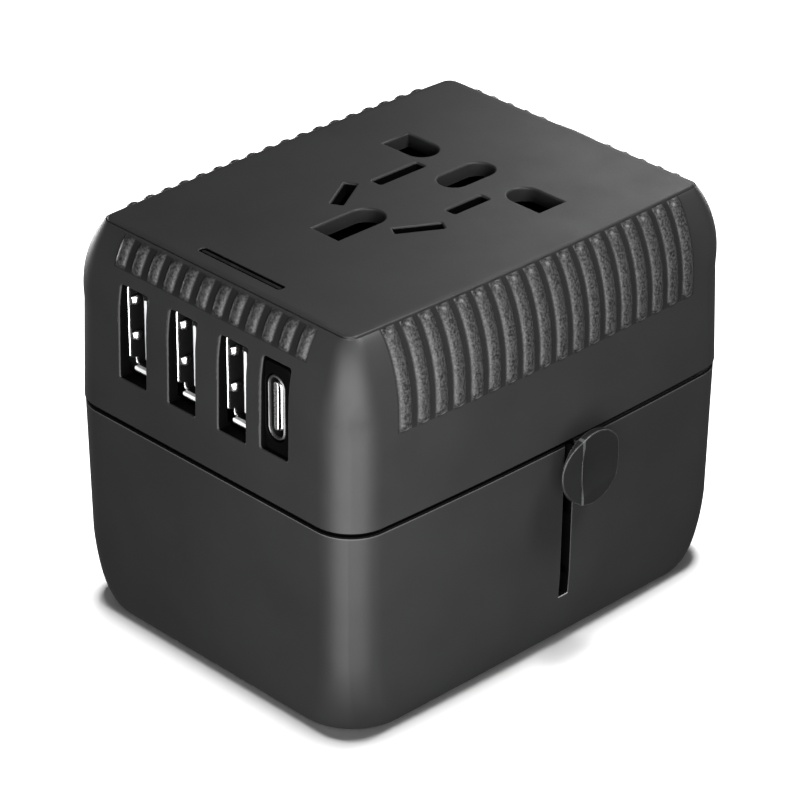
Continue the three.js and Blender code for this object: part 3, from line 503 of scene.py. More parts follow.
# A paler copy of the knob plastic: a painted highlight along each knob's ridge.
KNOB_RIDGE_HIGHLIGHT = plastic("knob_ridge_highlight", 0.05, 0.34)
# A dark copy of the port metal: painted shade inside the receptacles, at the springs' roots and behind the
# USB-C tongue's front.
PORT_PAINTED_SHADE = metal("port_painted_shade", (0.035, 0.035, 0.036), 0.5)
# A darker grey copy of the port metal, for the USB-C shell.
DARKER_PORT_METAL = metal("darker_port_metal", (0.2, 0.2, 0.2), 0.4)
# Pale plastic for painted highlights: the USB-A tongues' front edges and the sills beside them.
TONGUE_HIGHLIGHT = plastic("tongue_highlight", 0.75, 0.4, wear=1.1)
SLEEVE_PLASTIC = plastic("sleeve_plastic", 0.02, 0.4)

for name, node in frame["nodes"].items():
    node.data.materials.clear()
    node.data.materials.append(MATERIALS[SLOT_OF[name]])


# ---------- the casing's outer form ----------
# A side face: its turn about Z in degrees, its distance from the middle, its half length, whether it bulges,
# its ribs as (place along the face, width), and the height of the ribs' lower ends.
Face = namedtuple("Face", "turn half reach bulge ribs rib_low")
# An outline at one height: how far it lies inside the widest one, its corner radius and its faces' bulge.
Form = namedtuple("Form", "inset corner crown")


def upper_form(z):
    """The upper shell's outline at a height: a drafted wall, then the round shoulder up to the crease."""
    straight = UPPER_DRAFT * (SHOULDER_Z - SEAM_Z)
    if z <= SHOULDER_Z:
        return Form(UPPER_DRAFT * (z - SEAM_Z), CORNER, CROWN)
    angle = math.asin(min(1.0, (z - SHOULDER_Z) / (CREASE_Z - SHOULDER_Z)))
    inset = lerp(straight, CREASE_INSET, 1 - math.cos(angle) ** SHOULDER_POWER)
    return Form(inset, lerp(CORNER, CREASE_CORNER, angle / QUARTER), CROWN)


def lower_form(z):
    """The lower shell's outline at a height: a round heel, then a drafted wall up to the seam."""
    straight = LOWER_DRAFT * (SEAM_Z - HEEL_Z)
    if z >= HEEL_Z:
        return Form(LIP_STEP + LOWER_DRAFT * (SEAM_Z - z), CORNER, CROWN)
    angle = math.asin(min(1.0, (HEEL_Z - z) / HEEL_Z))
    inset = LIP_STEP + lerp(straight, FLOOR_INSET - LIP_STEP, 1 - math.cos(angle))
    return Form(inset, lerp(CORNER, FLOOR_CORNER, angle / QUARTER), CROWN * (1 - angle / QUARTER))


def shrunk(form, wall):
    return Form(form.inset + wall, max(form.corner - wall, 0.8), form.crown)


def rib_row(row, count):
    """A row of ribs about the middle of a face."""
    return [((i - (count - 1) / 2) * row["pitch"], row["width"]) for i in range(count)]


def back_row():
    """The back face has a smooth raised pad in place of its three middle ribs."""
    marks = rib_row(END_RIBS, END_RIBS["count"] + 1)
    outer = [mark for mark in marks if abs(mark[0]) > 1.5 * END_RIBS["pitch"]]
    return sorted(outer + [(0.0, BACK_PAD_WIDTH)])


SIDE_ROW = rib_row(SIDE_RIBS, SIDE_RIBS["count"])
FRONT_ROW = rib_row(END_RIBS, END_RIBS["count"])
RIGHT = Face(0, HALF_X, HALF_Y, 1, SIDE_ROW, SIDE_RIB_LOW_Z)
BACK = Face(90, HALF_Y, HALF_X, 0, back_row(), END_RIB_LOW_Z)
LEFT = Face(180, HALF_X, HALF_Y, 1, SIDE_ROW, SIDE_RIB_LOW_Z)
FRONT = Face(270, HALF_Y, HALF_X, 0, FRONT_ROW, END_RIB_LOW_Z)
FACES = (RIGHT, BACK, LEFT, FRONT)


def turned(face, x, y, z):
    """A point given with the face along +X, in the part's frame."""
    angle = math.radians(face.turn)
    c, s = math.cos(angle), math.sin(angle)
    return (x * c - y * s, x * s + y * c, z)


def on_face(face, form_at, along, z, out):
    """A point at a place along a side face, moved out from its surface."""
    form = form_at(z)
    side = face.reach - form.inset - form.corner
    bulge = face.bulge * form.crown * (1 - (along / side) ** 2)
    return turned(face, face.half - form.inset + bulge + out, along, z)


def corner_point(face, form, share, z):
    """A point on the upright corner before a face, from one face at share 0 to the other at 1."""
    angle = (share - 1) * QUARTER
    x = face.half - form.inset - form.corner + form.corner * math.cos(angle)
    y = form.corner * math.sin(angle) - (face.reach - form.inset - form.corner)
    return turned(face, x, y, z)


def plain_ring(form_at, z, arc_steps, side_steps, wall=0.0):
    """The shell's outline at a height, or its inner one where a wall is given."""
    form = shrunk(form_at(z), wall) if wall else form_at(z)
    points = []
    for face in FACES:
        points += [corner_point(face, form, i / arc_steps, z) for i in range(arc_steps + 1)]
        side = face.reach - form.inset - form.corner
        for i in range(1, side_steps):
            along = lerp(-side, side, i / side_steps)
            points.append(on_face(face, lambda _: form, along, z, 0.0))
    return points


def inset_ring(ring, by, z):
    """The ring drawn in towards the middle by a distance and set at a height."""
    return [(x, y, z) for x, y in grown([point[:2] for point in ring], -by)]


# ---------- ribs ----------
def arched(distance, radius):
    """Height share of a rib, 0 at its foot and 1 from a radius inwards."""
    t = min(1.0, max(0.0, distance / radius))
    return (1 - (1 - t) ** 2) ** 0.8


def last_foot(face):
    """Distance from the middle of a face to the outer foot of its last rib."""
    centre, width = face.ribs[-1]
    return centre + width / 2


def rib_columns(face):
    """Places along a face, closest together at the rib edges."""
    places = []
    for centre, width in face.ribs:
        for inside in RIB_COLUMNS:
            places += [centre - width / 2 + inside, centre + width / 2 - inside]
        places.append(centre)
    places += [side * (last_foot(face) + out) for side in (-1, 1) for out in BEYOND_RIBS]
    return sorted(places)


def rib_end(face, z):
    """Distance to the nearer end of the face's ribs, negative past it."""
    to_crease = math.hypot(CREASE_Z - z, CREASE_INSET - upper_form(min(z, CREASE_Z)).inset)
    top = to_crease + (SIDE_RIB_TOP if face.bulge else END_RIB_TOP)
    return min(z - face.rib_low, top)


def rib_lift(face, along, z):
    """Height of the ribs' surface over the face, round across each rib and round at its ends."""
    centre, width = min(face.ribs, key=lambda rib: abs(along - rib[0]) - rib[1] / 2)
    half = width / 2
    across = half - abs(along - centre)
    end_radius = min(half, SIDE_RIBS["width"] / 2)
    end = rib_end(face, z)
    if across < end_radius and end < end_radius:
        inside = end_radius - math.hypot(end_radius - across, end_radius - end)
    else:
        inside = min(across, end)
    return RIB_HEIGHT * arched(inside, end_radius)


def rib_slope(z):
    """How far the shoulder's surface leans back at a height, as an angle."""
    step = 0.02
    rise = (upper_form(z).inset - upper_form(z - step).inset) / step
    return math.atan(rise)


def ribbed_ring(z, lifted=True):
    """The upper shell's outline at a height, with its ribs raised where lifted."""
    arc_steps = 12
    form = upper_form(z)
    slope = rib_slope(z)
    points = []
    for face in FACES:
        points += [corner_point(face, form, i / arc_steps, z) for i in range(arc_steps + 1)]
        for along in rib_columns(face):
            lift = rib_lift(face, along, z) if lifted else 0.0
            x, y, _ = on_face(face, upper_form, along, z, lift * math.cos(slope))
            points.append((x, y, z + lift * math.sin(slope)))
    return points


def spaced(low, high, step):
    count = max(1, round((high - low) / step))
    return [lerp(low, high, i / count) for i in range(count)]


def shell_heights():
    """Heights of the upper shell's rings, closest together at the ribs' lower ends and at the crease."""
    coarse, middling, fine = 2.4, 0.6, 0.13
    side_low, side_high = SIDE_RIB_LOW_Z - 0.6, SIDE_RIB_LOW_Z + 1.4
    end_low, end_high = END_RIB_LOW_Z - 0.4, END_RIB_LOW_Z + 1.2
    heights = [UPPER_LOW.z + UPPER_SHADE_BAND] + spaced(UPPER_LOW.z + UPPER_SHADE_BAND + 0.05, side_low, coarse)
    heights += spaced(side_low, side_high, fine)
    heights += spaced(side_high, end_low, middling)
    heights += spaced(end_low, end_high, fine)
    heights += spaced(end_high, CREASE_Z - 0.8, 0.4)
    return heights + [CREASE_Z - down for down in (0.8, 0.55, 0.35, 0.2, 0.1, 0.04, 0.0)]


# ---------- shells ----------
def top_place(x, y, out):
    return (x, y, TOP_Z + out)


def floor_place(x, y, out):
    return (x, y, -out)


def live_outline(side):
    """The hole for a live or neutral pin: a round end towards the centre and a square end outwards."""
    radius, inner, outer = 2.3, 9.5, 14.3
    points = [(outer, -radius), (outer, radius)] + arc(inner, 0, radius, 90, 270, 16)
    return [(SOCKET_X + side * x, LIVE_Y + side * y) for x, y in points]


def stadium(x, low, high, half, square=False):
    """A slot along Y with round ends, the lower of them square where asked."""
    if square:
        return [(x - half, low), (x + half, low)] + arc(x, high - half, half, 0, 180, 16)
    return rounded_rectangle(x, (low + high) / 2, 2 * half, high - low, half - 0.01, 10)


def turned_slot(x, y, width, height, degrees):
    """A slot turned about its own middle."""
    c, s = math.cos(math.radians(degrees)), math.sin(math.radians(degrees))
    outline = rounded_rectangle(0, 0, width, height, 0.2, 3)
    return [(x + c * u - s * v, y + s * u + c * v) for u, v in outline]


def wide_holes():
    """The socket holes for round and rectangular pins."""
    outlines = [
        live_outline(-1),
        live_outline(1),
        stadium(SOCKET_X, *FAR_EARTH),
        stadium(SOCKET_X, *NEAR_EARTH, square=True),
    ]
    return [hole(outline, top_place, HOLE_DEPTH, HOLE_RIM) for outline in outlines]


def narrow_slots():
    """The flat-blade slots, upright and angled, and the indicator's window."""
    left, right = SOCKET_X - FLAT_BLADE_X, SOCKET_X + FLAT_BLADE_X
    outlines = [
        rounded_rectangle(left, FLAT_BLADE_Y, BLADE_SLOT, 8.1, 0.3),
        rounded_rectangle(right, FLAT_BLADE_Y, BLADE_SLOT, 6.4, 0.3),
        turned_slot(SOCKET_X - ANGLED_BLADE_X, ANGLED_BLADE_Y, BLADE_SLOT, 6.5, 30),
        turned_slot(SOCKET_X + ANGLED_BLADE_X, ANGLED_BLADE_Y, BLADE_SLOT, 6.5, -30),
    ]
    slots = [hole(outline, top_place, HOLE_DEPTH, HOLE_RIM) for outline in outlines]
    indicator = rounded_rectangle(*INDICATOR_PLACE, *INDICATOR, 0.4)
    return slots + [hole(indicator, top_place, HOLE_DEPTH, INDICATOR_RIM)]


def usb_openings():
    """The four upright windows in the front face, one for each port."""
    outlines = []
    for i in USB_A_PORTS:
        across = middle_of(f"usb_a_shell_{i}").x
        outlines.append(rounded_rectangle(across, PORT_Z, *USB_A_OPENING, 0.3, 3))
    across = middle_of("usb_c_bezel").x
    outlines.append(rounded_rectangle(across, PORT_Z + USB_C_RISE, *USB_C_OPENING, 0.4, 4))
    place = partial(on_face, FRONT, upper_form)
    return [hole(subdivided(outline, 1.0), place, PORT_DEPTH, PORT_RIM) for outline in outlines]


def across_y(u, v, out):
    return (u, out, v)


def port_pockets():
    """Room behind the USB openings for the receptacle shells."""
    stacks = []
    for i in USB_A_PORTS:
        centre = middle_of(f"usb_a_shell_{i}")
        front = mm_box(f"usb_a_shell_{i}")[0].y
        outline = rounded_rectangle(centre.x, centre.z, *USB_A_POCKET, 0.5, 3)
        stacks.append(bar(outline, across_y, front - 0.15, front + 2.5))
    return stacks


def screw_columns(low, high, radius):
    """An upright round bar at each of the four screws."""
    centres = [middle_of(f"screw_{i}") for i in SCREWS]
    return [lathe([(radius, low), (radius, high)], centre.x, centre.y, 24) for centre in centres]


def upper_shell():
    """The ribbed shell, hollowed, with its screw tubes, socket holes and USB openings."""
    foot = ribbed_ring(UPPER_LOW.z + UPPER_RIM)
    edge = 0.3 * UPPER_RIM
    rings = [
        inset_ring(foot, UPPER_RIM, UPPER_LOW.z),
        inset_ring(foot, edge, UPPER_LOW.z + edge),
        foot,
    ]
    rings += [ribbed_ring(z) for z in shell_heights()]
    crease = ribbed_ring(CREASE_Z, lifted=False)
    rings.append(crease)
    rings += [inset_ring(crease, by, CREASE_Z + rise) for by, rise in CREASE_STEPS]
    shell = mesh_from("upper_shell_skin", [rings])
    dressed(shell, MATERIALS["casing"], CASING_PAINTED_SHADE)
    hollow_heights = (SEAM_Z - 1, 38, SHOULDER_Z, 47.5, 49.5, 51.5, 53, TOP_Z - WALL)
    hollow = [plain_ring(lambda h: upper_form(max(h, SEAM_Z)), z, 6, 6, WALL) for z in hollow_heights]
    # Painted shade on the whole inside.
    carve(shell, [hollow], shaded_bands=len(hollow))
    carve(shell, screw_columns(SEAM_Z + 1.4, TOP_Z - WALL + 0.4, SCREW_TUBE_RADIUS), "UNION")
    carve(shell, screw_columns(SEAM_Z, SCREW_HOLE_TOP, SCREW_HOLE_RADIUS))
    carve(shell, wide_holes())
    # Painted shade on the walls of the narrow slots and USB openings, and in the port pockets.
    carve(shell, narrow_slots() + usb_openings(), shaded_bands=1)
    carve(shell, port_pockets(), shaded_bands=2)
    mark(shell, "eroded", rib_share)
    # Painted shade for the grooves between the ribs.
    mark(shell, "foot", groove_shade_share)
    # Painted highlights at the ribs' lower tips.
    mark(shell, "tip", rib_tip_highlight)
    # Painted shade for the gap at the joint line.
    paint_joint_shade(shell, UPPER_LOW.z, UPPER_LOW.z + UPPER_SHADE_BAND)
    stand_for(dressed(shell), "upper_shell")


def mark(shell, name, share_at):
    """Stores a share from 0 to 1 at each of the shell's points, for the casing's material."""
    attribute = shell.data.attributes.new(name, "FLOAT", "POINT")
    for i, vertex in enumerate(shell.data.vertices):
        attribute.data[i].value = min(1.0, max(0.0, share_at(*(vertex.co / MM))))


def paint_joint_shade(shell, low, high):
    """Gives the shell's second material, a painted shade, to the band between two heights, for the shade in
    the gap at the joint line.
    """
    for polygon in shell.data.polygons:
        if low * MM <= polygon.center.z <= high * MM:
            polygon.material_index = 1


def seen_from(face, x, y):
    """A point's distance from the middle towards a face, and its place along that face."""
    point = Vector((x, y))
    return point.dot(turned(face, 1, 0, 0)[:2]), point.dot(turned(face, 0, 1, 0)[:2])


def rib_under(x, y, z):
    """The face and the rib nearest to a point: the face, the point's place along it, the distance from the
    rib's middle line and the distance within the rib's feet, negative outside."""
    face = min(FACES, key=lambda f: f.half - seen_from(f, x, y)[0])
    ahead, along = seen_from(face, x, y)
    side = face.reach - CREASE_INSET - CREASE_CORNER
    bulge = face.bulge * CROWN * (1 - (along / side) ** 2)
    centre, width = min(face.ribs, key=lambda rib: abs(along - rib[0]) - rib[1] / 2)
    past_crease = face.half - CREASE_INSET + bulge - ahead > 0.05
    inside = -width if past_crease else min(width / 2 - abs(along - centre), rib_end(face, z))
    return face, along, along - centre, inside


def rib_share(x, y, z):
    """Coarse grain on the ribs, fading out just outside their feet."""
    _, _, _, inside = rib_under(x, y, z)
    return 0.3 + inside / 0.2


def groove_shade_share(x, y, z):
    """Painted shade in the grooves between the ribs."""
    face, along, _, inside = rib_under(x, y, z)
    reach = GROOVE_SHADE_REACH if abs(along) < last_foot(face) else LAST_GROOVE_SHADE_REACH
    groove = min(1 - inside / 0.15, 1 + (inside + reach) / 0.1, 0.95)
    return groove if rib_end(face, z) > -0.01 else 0.0


def rib_tip_highlight(x, y, z):
    """A painted highlight at the lower tips of the side faces' ribs."""
    face, _, across, _ = rib_under(x, y, z)
    spot = 0.35  # radius of the painted highlight, and its height over the rib's lower end
    return face.bulge * (1 - math.hypot(across - 0.25, z - face.rib_low - spot) / spot)


SLOT_LINES = ((RIGHT, "us_knob"), (LEFT, "uk_knob"), (BACK, "eu_knob"))


def knob_place(face, node):
    """A knob's place along its face and its height."""
    centre = middle_of(node)
    _, along = seen_from(face, centre.x, centre.y)
    return along, centre.z


def slider_slots():
    """The slots that the knobs' stems run in, open at the seam."""
    stacks = []
    height = SEAM_Z + 1 - SLOT_LOW_Z
    for face, node in SLOT_LINES:
        along, _ = knob_place(face, node)
        outline = rounded_rectangle(along, SLOT_LOW_Z + height / 2, SLOT_WIDTH, height, SLOT_RIM, 2)
        place = partial(on_face, face, lower_form)
        stacks.append(hole(subdivided(outline, 1.2), place, SLOT_DEPTH, SLOT_RIM, 3))
    return stacks


def pin_hole(node, room, corner):
    """A floor hole around a pin that comes out of it."""
    low, high = mm_box(node)
    centre = middle_of(node)
    width, depth = high.x - low.x + 2 * room, high.y - low.y + 2 * room
    radius = min(corner, width / 2 - 0.01, depth / 2 - 0.01)
    outline = rounded_rectangle(centre.x, centre.y, width, depth, radius, 8)
    return hole(outline, floor_place, FLOOR + 1, FLOOR_RIM)


def floor_holes():
    """The pins' holes. Those of the turning blades are round."""
    holes = [pin_hole(node, 0.36, 0.5) for node in UK_PINS]
    holes += [pin_hole(node, 0.35, 2.7) for node in EU_PINS]
    for centre in (middle_of(node) for node in US_BLADES):
        outline = circle(centre.x, centre.y, TURNING_BLADE_RADIUS)
        holes.append(hole(outline, floor_place, FLOOR + 1, FLOOR_RIM))
    return holes


def screw_bores():
    """The wide holes that take the screws' heads up into their tubes."""
    bores = []
    for i in SCREWS:
        centre = middle_of(f"screw_{i}")
        depth = mm_box(f"screw_{i}")[0].z + 1.9
        bores.append(hole(circle(centre.x, centre.y, SCREW_BORE_RADIUS), floor_place, depth, 0.4))
    return bores


def slot_end_highlight(slots, x, y, z):
    """A painted highlight at the lower end of each slider slot."""
    for face, centre in slots:
        ahead, along = seen_from(face, x, y)
        if abs(along - centre) < SLOT_WIDTH / 2 + 0.01 and ahead > face.half - 1.5:
            return 0.6 * (1 - abs(z - SLOT_LOW_Z) / 0.1)
    return 0.0


def rim_edge_highlight(z):
    """A faint painted highlight along the upper edge of the lower shell."""
    low, high = RIM_HIGHLIGHT_BAND
    return 0.14 if low - 0.01 < LOWER_HIGH.z - z < high + 0.01 else 0.0


def lower_heights():
    """Heights of the lower shell's rings, closest together at the floor and at the upper edge."""
    heel = [HEEL_Z * (1 - math.cos(i / 14 * QUARTER)) for i in range(15)]
    rim = [LOWER_HIGH.z - down for down in (0.4, RIM_HIGHLIGHT_BAND[1], RIM_HIGHLIGHT_BAND[0], LOWER_SHADE_BAND)]
    return heel + spaced(HEEL_Z + 1.5, LOWER_HIGH.z - 0.44, 2.5) + rim


def lower_shell():
    """The smooth shell, hollowed, with its screw tubes, slider slots and pin holes."""
    rings = [plain_ring(lower_form, z, 12, 16) for z in lower_heights()]
    neck_z = LOWER_HIGH.z - LOWER_RIM
    neck = plain_ring(lower_form, neck_z, 12, 16)
    for angle in (i / 4 * QUARTER for i in range(5)):
        inset, rise = LOWER_RIM * (1 - math.cos(angle)), LOWER_RIM * math.sin(angle)
        rings.append(inset_ring(neck, inset, neck_z + rise))
    shell = mesh_from("lower_shell_skin", [rings])
    dressed(shell, MATERIALS["casing"], CASING_PAINTED_SHADE)
    hollow_heights = (FLOOR, 3.2, 5.5, HEEL_Z, 20, SEAM_Z + 1)
    hollow = [plain_ring(lambda h: lower_form(min(h, SEAM_Z)), z, 6, 6, WALL) for z in hollow_heights]
    # Painted shade on the whole inside.
    carve(shell, [hollow], shaded_bands=len(hollow))
    carve(shell, screw_columns(FLOOR - 0.4, SCREW_TUBE_TOP, SCREW_TUBE_RADIUS), "UNION")
    # Painted shade on the walls of the screw bores, slider slots and pin holes.
    carve(shell, screw_bores(), shaded_bands=1)
    carve(shell, screw_columns(*SCREW_THROAT, SCREW_THROAT_RADIUS))
    carve(shell, slider_slots() + floor_holes(), shaded_bands=1)
    slots = [(face, knob_place(face, node)[0]) for face, node in SLOT_LINES]
    # Painted shade for the gap at the joint line.
    paint_joint_shade(shell, LOWER_HIGH.z - LOWER_SHADE_BAND, LOWER_HIGH.z)
    # Painted highlights at the slots' lower ends and along the upper edge.
    mark(shell, "tip", lambda x, y, z: max(slot_end_highlight(slots, x, y, z), rim_edge_highlight(z)))
    stand_for(dressed(shell), "lower_shell")


# ---------- slider knobs ----------
KNOB_RADIUS = 5.2
KNOB_BACK = 3.5  # how far the disc's back stands off the face's datum
RIDGE_AT = -2.3  # the ridge's place across the disc
RIDGE_TOP = 4.5
# Half width of the painted highlight along the ridge.
RIDGE_HIGHLIGHT_HALF = 0.16
FLANK_LOW = 3.7
SCOOP_RADIUS = 9.0
SCOOP_LOW = 3.75
SCOOP_FROM = RIDGE_AT + 0.45
SCOOP_FALL = 0.05  # slope of the front from the ridge to the far rim
KNOB_RIM = 0.12
STEM_HEIGHT = 3.0
STEM_WIDTH = 1
NECK_WIDTH = 2


def soft_min(a, b, width):
    """The smaller of two heights, with a round meeting of that width."""
    blend = max(0.0, width - abs(a - b)) / width
    return min(a, b) - blend * blend * width / 4


def knob_front(u, v):
    """Height of a knob's front: a flat flank up to an upright ridge, then a scoop for the finger."""
    rise = (RIDGE_TOP - FLANK_LOW) / (RIDGE_AT + KNOB_RADIUS)
    flank = RIDGE_TOP + rise * (u - RIDGE_AT)
    height = soft_min(flank, RIDGE_TOP - SCOOP_FALL * (u - RIDGE_AT), 0.1)
    scoop = SCOOP_LOW + SCOOP_RADIUS - math.sqrt(SCOOP_RADIUS**2 - v * v)
    share = min(1.0, max(0.0, (u - RIDGE_AT - 0.1) / (SCOOP_FROM - RIDGE_AT)))
    share = share * share * (3 - 2 * share)
    return lerp(height, min(height, scoop), share)


def round_step(distance, radius):
    """Height share of a round edge, 0 at the edge and 1 from a radius inwards."""
    t = min(1.0, max(0.0, distance / radius))
    return math.sqrt(1 - (1 - t) ** 2)


def knob_columns():
    """Places across a knob's disc, closest together at the ridge and at the rims."""
    left = [-KNOB_RADIUS * math.cos(i / 14 * QUARTER * 0.75) for i in range(15)]
    ridge = spaced(left[-1] + 0.05, SCOOP_FROM + 0.5, 0.07)
    right = [KNOB_RADIUS * math.sin(i / 22 * QUARTER) for i in range(23)]
    low = ridge[-1] + 0.07
    return left + ridge + [value for value in spaced(low, 0, 0.25) + right if value >= low]


def knob(face, node):
    """A round disc held off the face by a neck, with a thin stem that runs in the slot."""
    along, centre_z = knob_place(face, node)
    datum = face.half + CROWN * face.bulge - 0.1
    rows = 40

    def place(u, v, out):
        return turned(face, datum + out, along + u, centre_z + v)

    rings = []
    for u in knob_columns():
        reach = math.sqrt(max(0.0, KNOB_RADIUS**2 - u * u))
        front, back = [], []
        for i in range(rows + 1):
            v = reach * math.sin(lerp(-QUARTER, QUARTER, i / rows))
            edge = KNOB_RIM * (1 - round_step(KNOB_RADIUS - math.hypot(u, v), KNOB_RIM))
            front.append(place(u, v, knob_front(u, v) - edge))
            back.append(place(u, v, KNOB_BACK + 0.5 * edge))
        rings.append(front + back[::-1])
    disc = mesh_from(f"{node}_body", [rings])
    neck = bar(rounded_rectangle(0, 0, NECK_WIDTH, STEM_HEIGHT, 0.3), place, 0.5, KNOB_BACK + 0.15)
    stem = bar(rounded_rectangle(0, 0, STEM_WIDTH, STEM_HEIGHT, 0.3), place, -3.5, 0.8)
    carve(disc, [neck], "UNION")
    carve(disc, [stem], "UNION")
    dressed(disc, MATERIALS["knob"], CASING_PAINTED_SHADE, KNOB_RIDGE_HIGHLIGHT, angle=40)
    # Painted shade on the neck and stem behind the disc, and a painted highlight along the ridge.
    for polygon in disc.data.polygons:
        ahead, beside = seen_from(face, *(polygon.center.xy / MM))
        out, u = ahead - datum, beside - along
        if out < KNOB_BACK - 0.1:
            polygon.material_index = 1
        elif abs(u - RIDGE_AT) < RIDGE_HIGHLIGHT_HALF and out > KNOB_BACK + 0.2:
            polygon.material_index = 2
    stand_for(disc, node)


# ---------- USB receptacles ----------
RECEPTACLE_SKIN = 0.3
USB_C_ASIDE = -0.4  # the USB-C receptacle's middle beside its plate's


def receptacle(outline, front, back, skin, flare, setback):
    """A thin shell drawn along Y with a flared lip. setback(u, v) says how far its edge is cut back
    at a point. Its first two bands are the inside."""
    profile = [(0.0, back, 0), (0.0, front + 2.0, 0), (0.0, front + 0.4, 1)]
    for t in (0.4, 0.8, 1.2, QUARTER):
        profile.append((flare * (1 - math.cos(t)), front + 0.3 * (1 - math.sin(t)), 1))
    profile += [(flare + skin * 0.6, front + 0.1, 1), (skin + flare * 0.4, front + 0.5, 1)]
    profile += [(skin, front + 0.9, 1), (skin, front + 2.0, 0), (skin, back, 0)]
    rings = []
    for growth, y, moves in profile:
        ring = grown(outline, growth)
        rings.append([(u, y + moves * setback(u0, v0), v) for (u, v), (u0, v0) in zip(ring, outline)])
    return rings


def spring_tab(wall_x, inward, z, front):
    """A springy finger bent out of a receptacle's long wall, its crest domed towards the plug."""
    width, thickness, length, steps = 1.35, 0.16, 3.6, 18
    crest_at, crest_height, crest_length = 1.15, 0.5, 0.55
    rings = []
    for i in range(steps + 1):
        along = 0.4 + length * i / steps
        crest = math.exp(-(((along - crest_at) / crest_length) ** 2))
        x = wall_x + inward * (0.06 + crest_height * crest)
        near, far = x - inward * thickness / 2, x + inward * thickness / 2
        half = width / 2 * (0.75 + 0.25 * crest)
        ring = [(near, front + along, z - half)]
        for turn in (-1, -0.5, 0, 0.5, 1):
            ring.append((far + inward * 0.1 * (1 - turn * turn), front + along, z + half * 0.9 * turn))
        rings.append(ring + [(near, front + along, z + half)])
    return rings


def usb_a_shell(i):
    """A receptacle's metal shell, its lip cut back at the corners."""
    node = f"usb_a_shell_{i}"
    low, high = mm_box(node)
    middle = middle_of(node)
    width, height = (size - 2 * RECEPTACLE_SKIN for size in (high.x - low.x, high.z - low.z))
    outline = subdivided(rounded_rectangle(middle.x, middle.z, width, height, 0.35, 4), 0.25)

    def setback(u, v):
        beside = width / 2 - abs(u - middle.x) < height / 2 - abs(v - middle.z)
        past = abs(v - middle.z) - 5.1 if beside else abs(u - middle.x) - 1.9
        return 1.1 * min(1.0, max(0.0, past / 0.3))

    rings = receptacle(outline, low.y, high.y, RECEPTACLE_SKIN, 0.2, setback)
    # Painted shade on the inside.
    shell = mesh_from(f"{node}_body", [rings], closed=True, shaded_bands=2)
    stand_for(dressed(shell, MATERIALS["port_metal"], PORT_PAINTED_SHADE), node)


def usb_a_springs(i):
    """Four springy fingers inside a shell, bright at their crests and with painted shade at their roots."""
    node = f"usb_a_shell_{i}"
    low, high = mm_box(node)
    middle = middle_of(node)
    half = (high.x - low.x) / 2 - RECEPTACLE_SKIN
    tabs = [
        spring_tab(middle.x + side * half, -side, middle.z + rise, low.y)
        for side in (-1, 1)
        for rise in (-2.05, 3.05)
    ]
    springs = mesh_from(f"usb_a_springs_{i}", tabs)
    # Painted shade at the fingers' roots.
    for polygon in springs.data.polygons:
        root = half - abs(polygon.center.x / MM - middle.x) < 0.3
        polygon.material_index = int(root)
    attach(dressed(springs, MATERIALS["port_metal"], PORT_PAINTED_SHADE, angle=50), BODY_OF[node])


def usb_a_tongue(i):
    """The dark tongue, with a painted highlight as a pale bar along its front edge and another as the pale
    sill beside it, and four brass contacts.
    """
    low, high = mm_box(f"usb_a_tongue_{i}")
    middle = middle_of(f"usb_a_tongue_{i}")
    outline = rounded_rectangle(middle.x, middle.z, high.x - low.x, high.z - low.z, 0.25)
    tongue = mesh_from(f"usb_a_tongue_{i}_body", [bar(outline, across_y, low.y, high.y, 0.15)])
    stand_for(dressed(tongue, MATERIALS["inner_plastic"]), f"usb_a_tongue_{i}")
    # Painted highlights: a pale bar on the tongue's front edge and a pale sill.
    outline = rounded_rectangle(low.x + 0.5, middle.z - 0.3, 0.5, high.z - low.z - 0.7, 0.24, 6)
    bars = [bar(outline, across_y, low.y - 0.05, low.y + 0.5, 0.05)]
    rim, _ = mm_box(f"usb_a_shell_{i}")
    sill = rounded_rectangle(middle.x - 0.9, rim.z + 0.36, 3.2, 0.6, 0.25, 5)
    bars.append(bar(sill, across_y, rim.y + 0.02, rim.y + 0.6, 0.08))
    edge = mesh_from(f"usb_a_tongue_highlight_{i}", bars)
    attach(dressed(edge, TONGUE_HIGHLIGHT), BODY_OF[f"usb_a_tongue_{i}"])
    strips = []
    for rise in (-3.5, -1.0, 1.0, 3.5):
        outline = rounded_rectangle(low.x, middle.z + rise, 0.24, 1.0, 0.08, 2)
        strips.append(bar(outline, across_y, low.y + 0.7, high.y - 0.5, 0.1))
    contacts = mesh_from(f"usb_a_contacts_{i}", strips)
    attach(dressed(contacts, MATERIALS["brass"]), BODY_OF[f"usb_a_tongue_{i}"])


def usb_c_shell():
    """The oval metal shell."""
    low, high = mm_box("usb_c_shell")
    middle = middle_of("usb_c_shell")
    width, height = (size - 2 * RECEPTACLE_SKIN for size in (high.x - low.x, high.z - low.z))
    outline = rounded_rectangle(middle.x + USB_C_ASIDE, middle.z, width, height, width / 2 - 0.02, 12)
    rings = receptacle(outline, low.y, high.y, RECEPTACLE_SKIN, 0.06, lambda u, v: 0.0)
    # Painted shade on the inside.
    shell = mesh_from("usb_c_shell_body", [rings], closed=True, shaded_bands=2)
    stand_for(dressed(shell, DARKER_PORT_METAL, PORT_PAINTED_SHADE), "usb_c_shell")


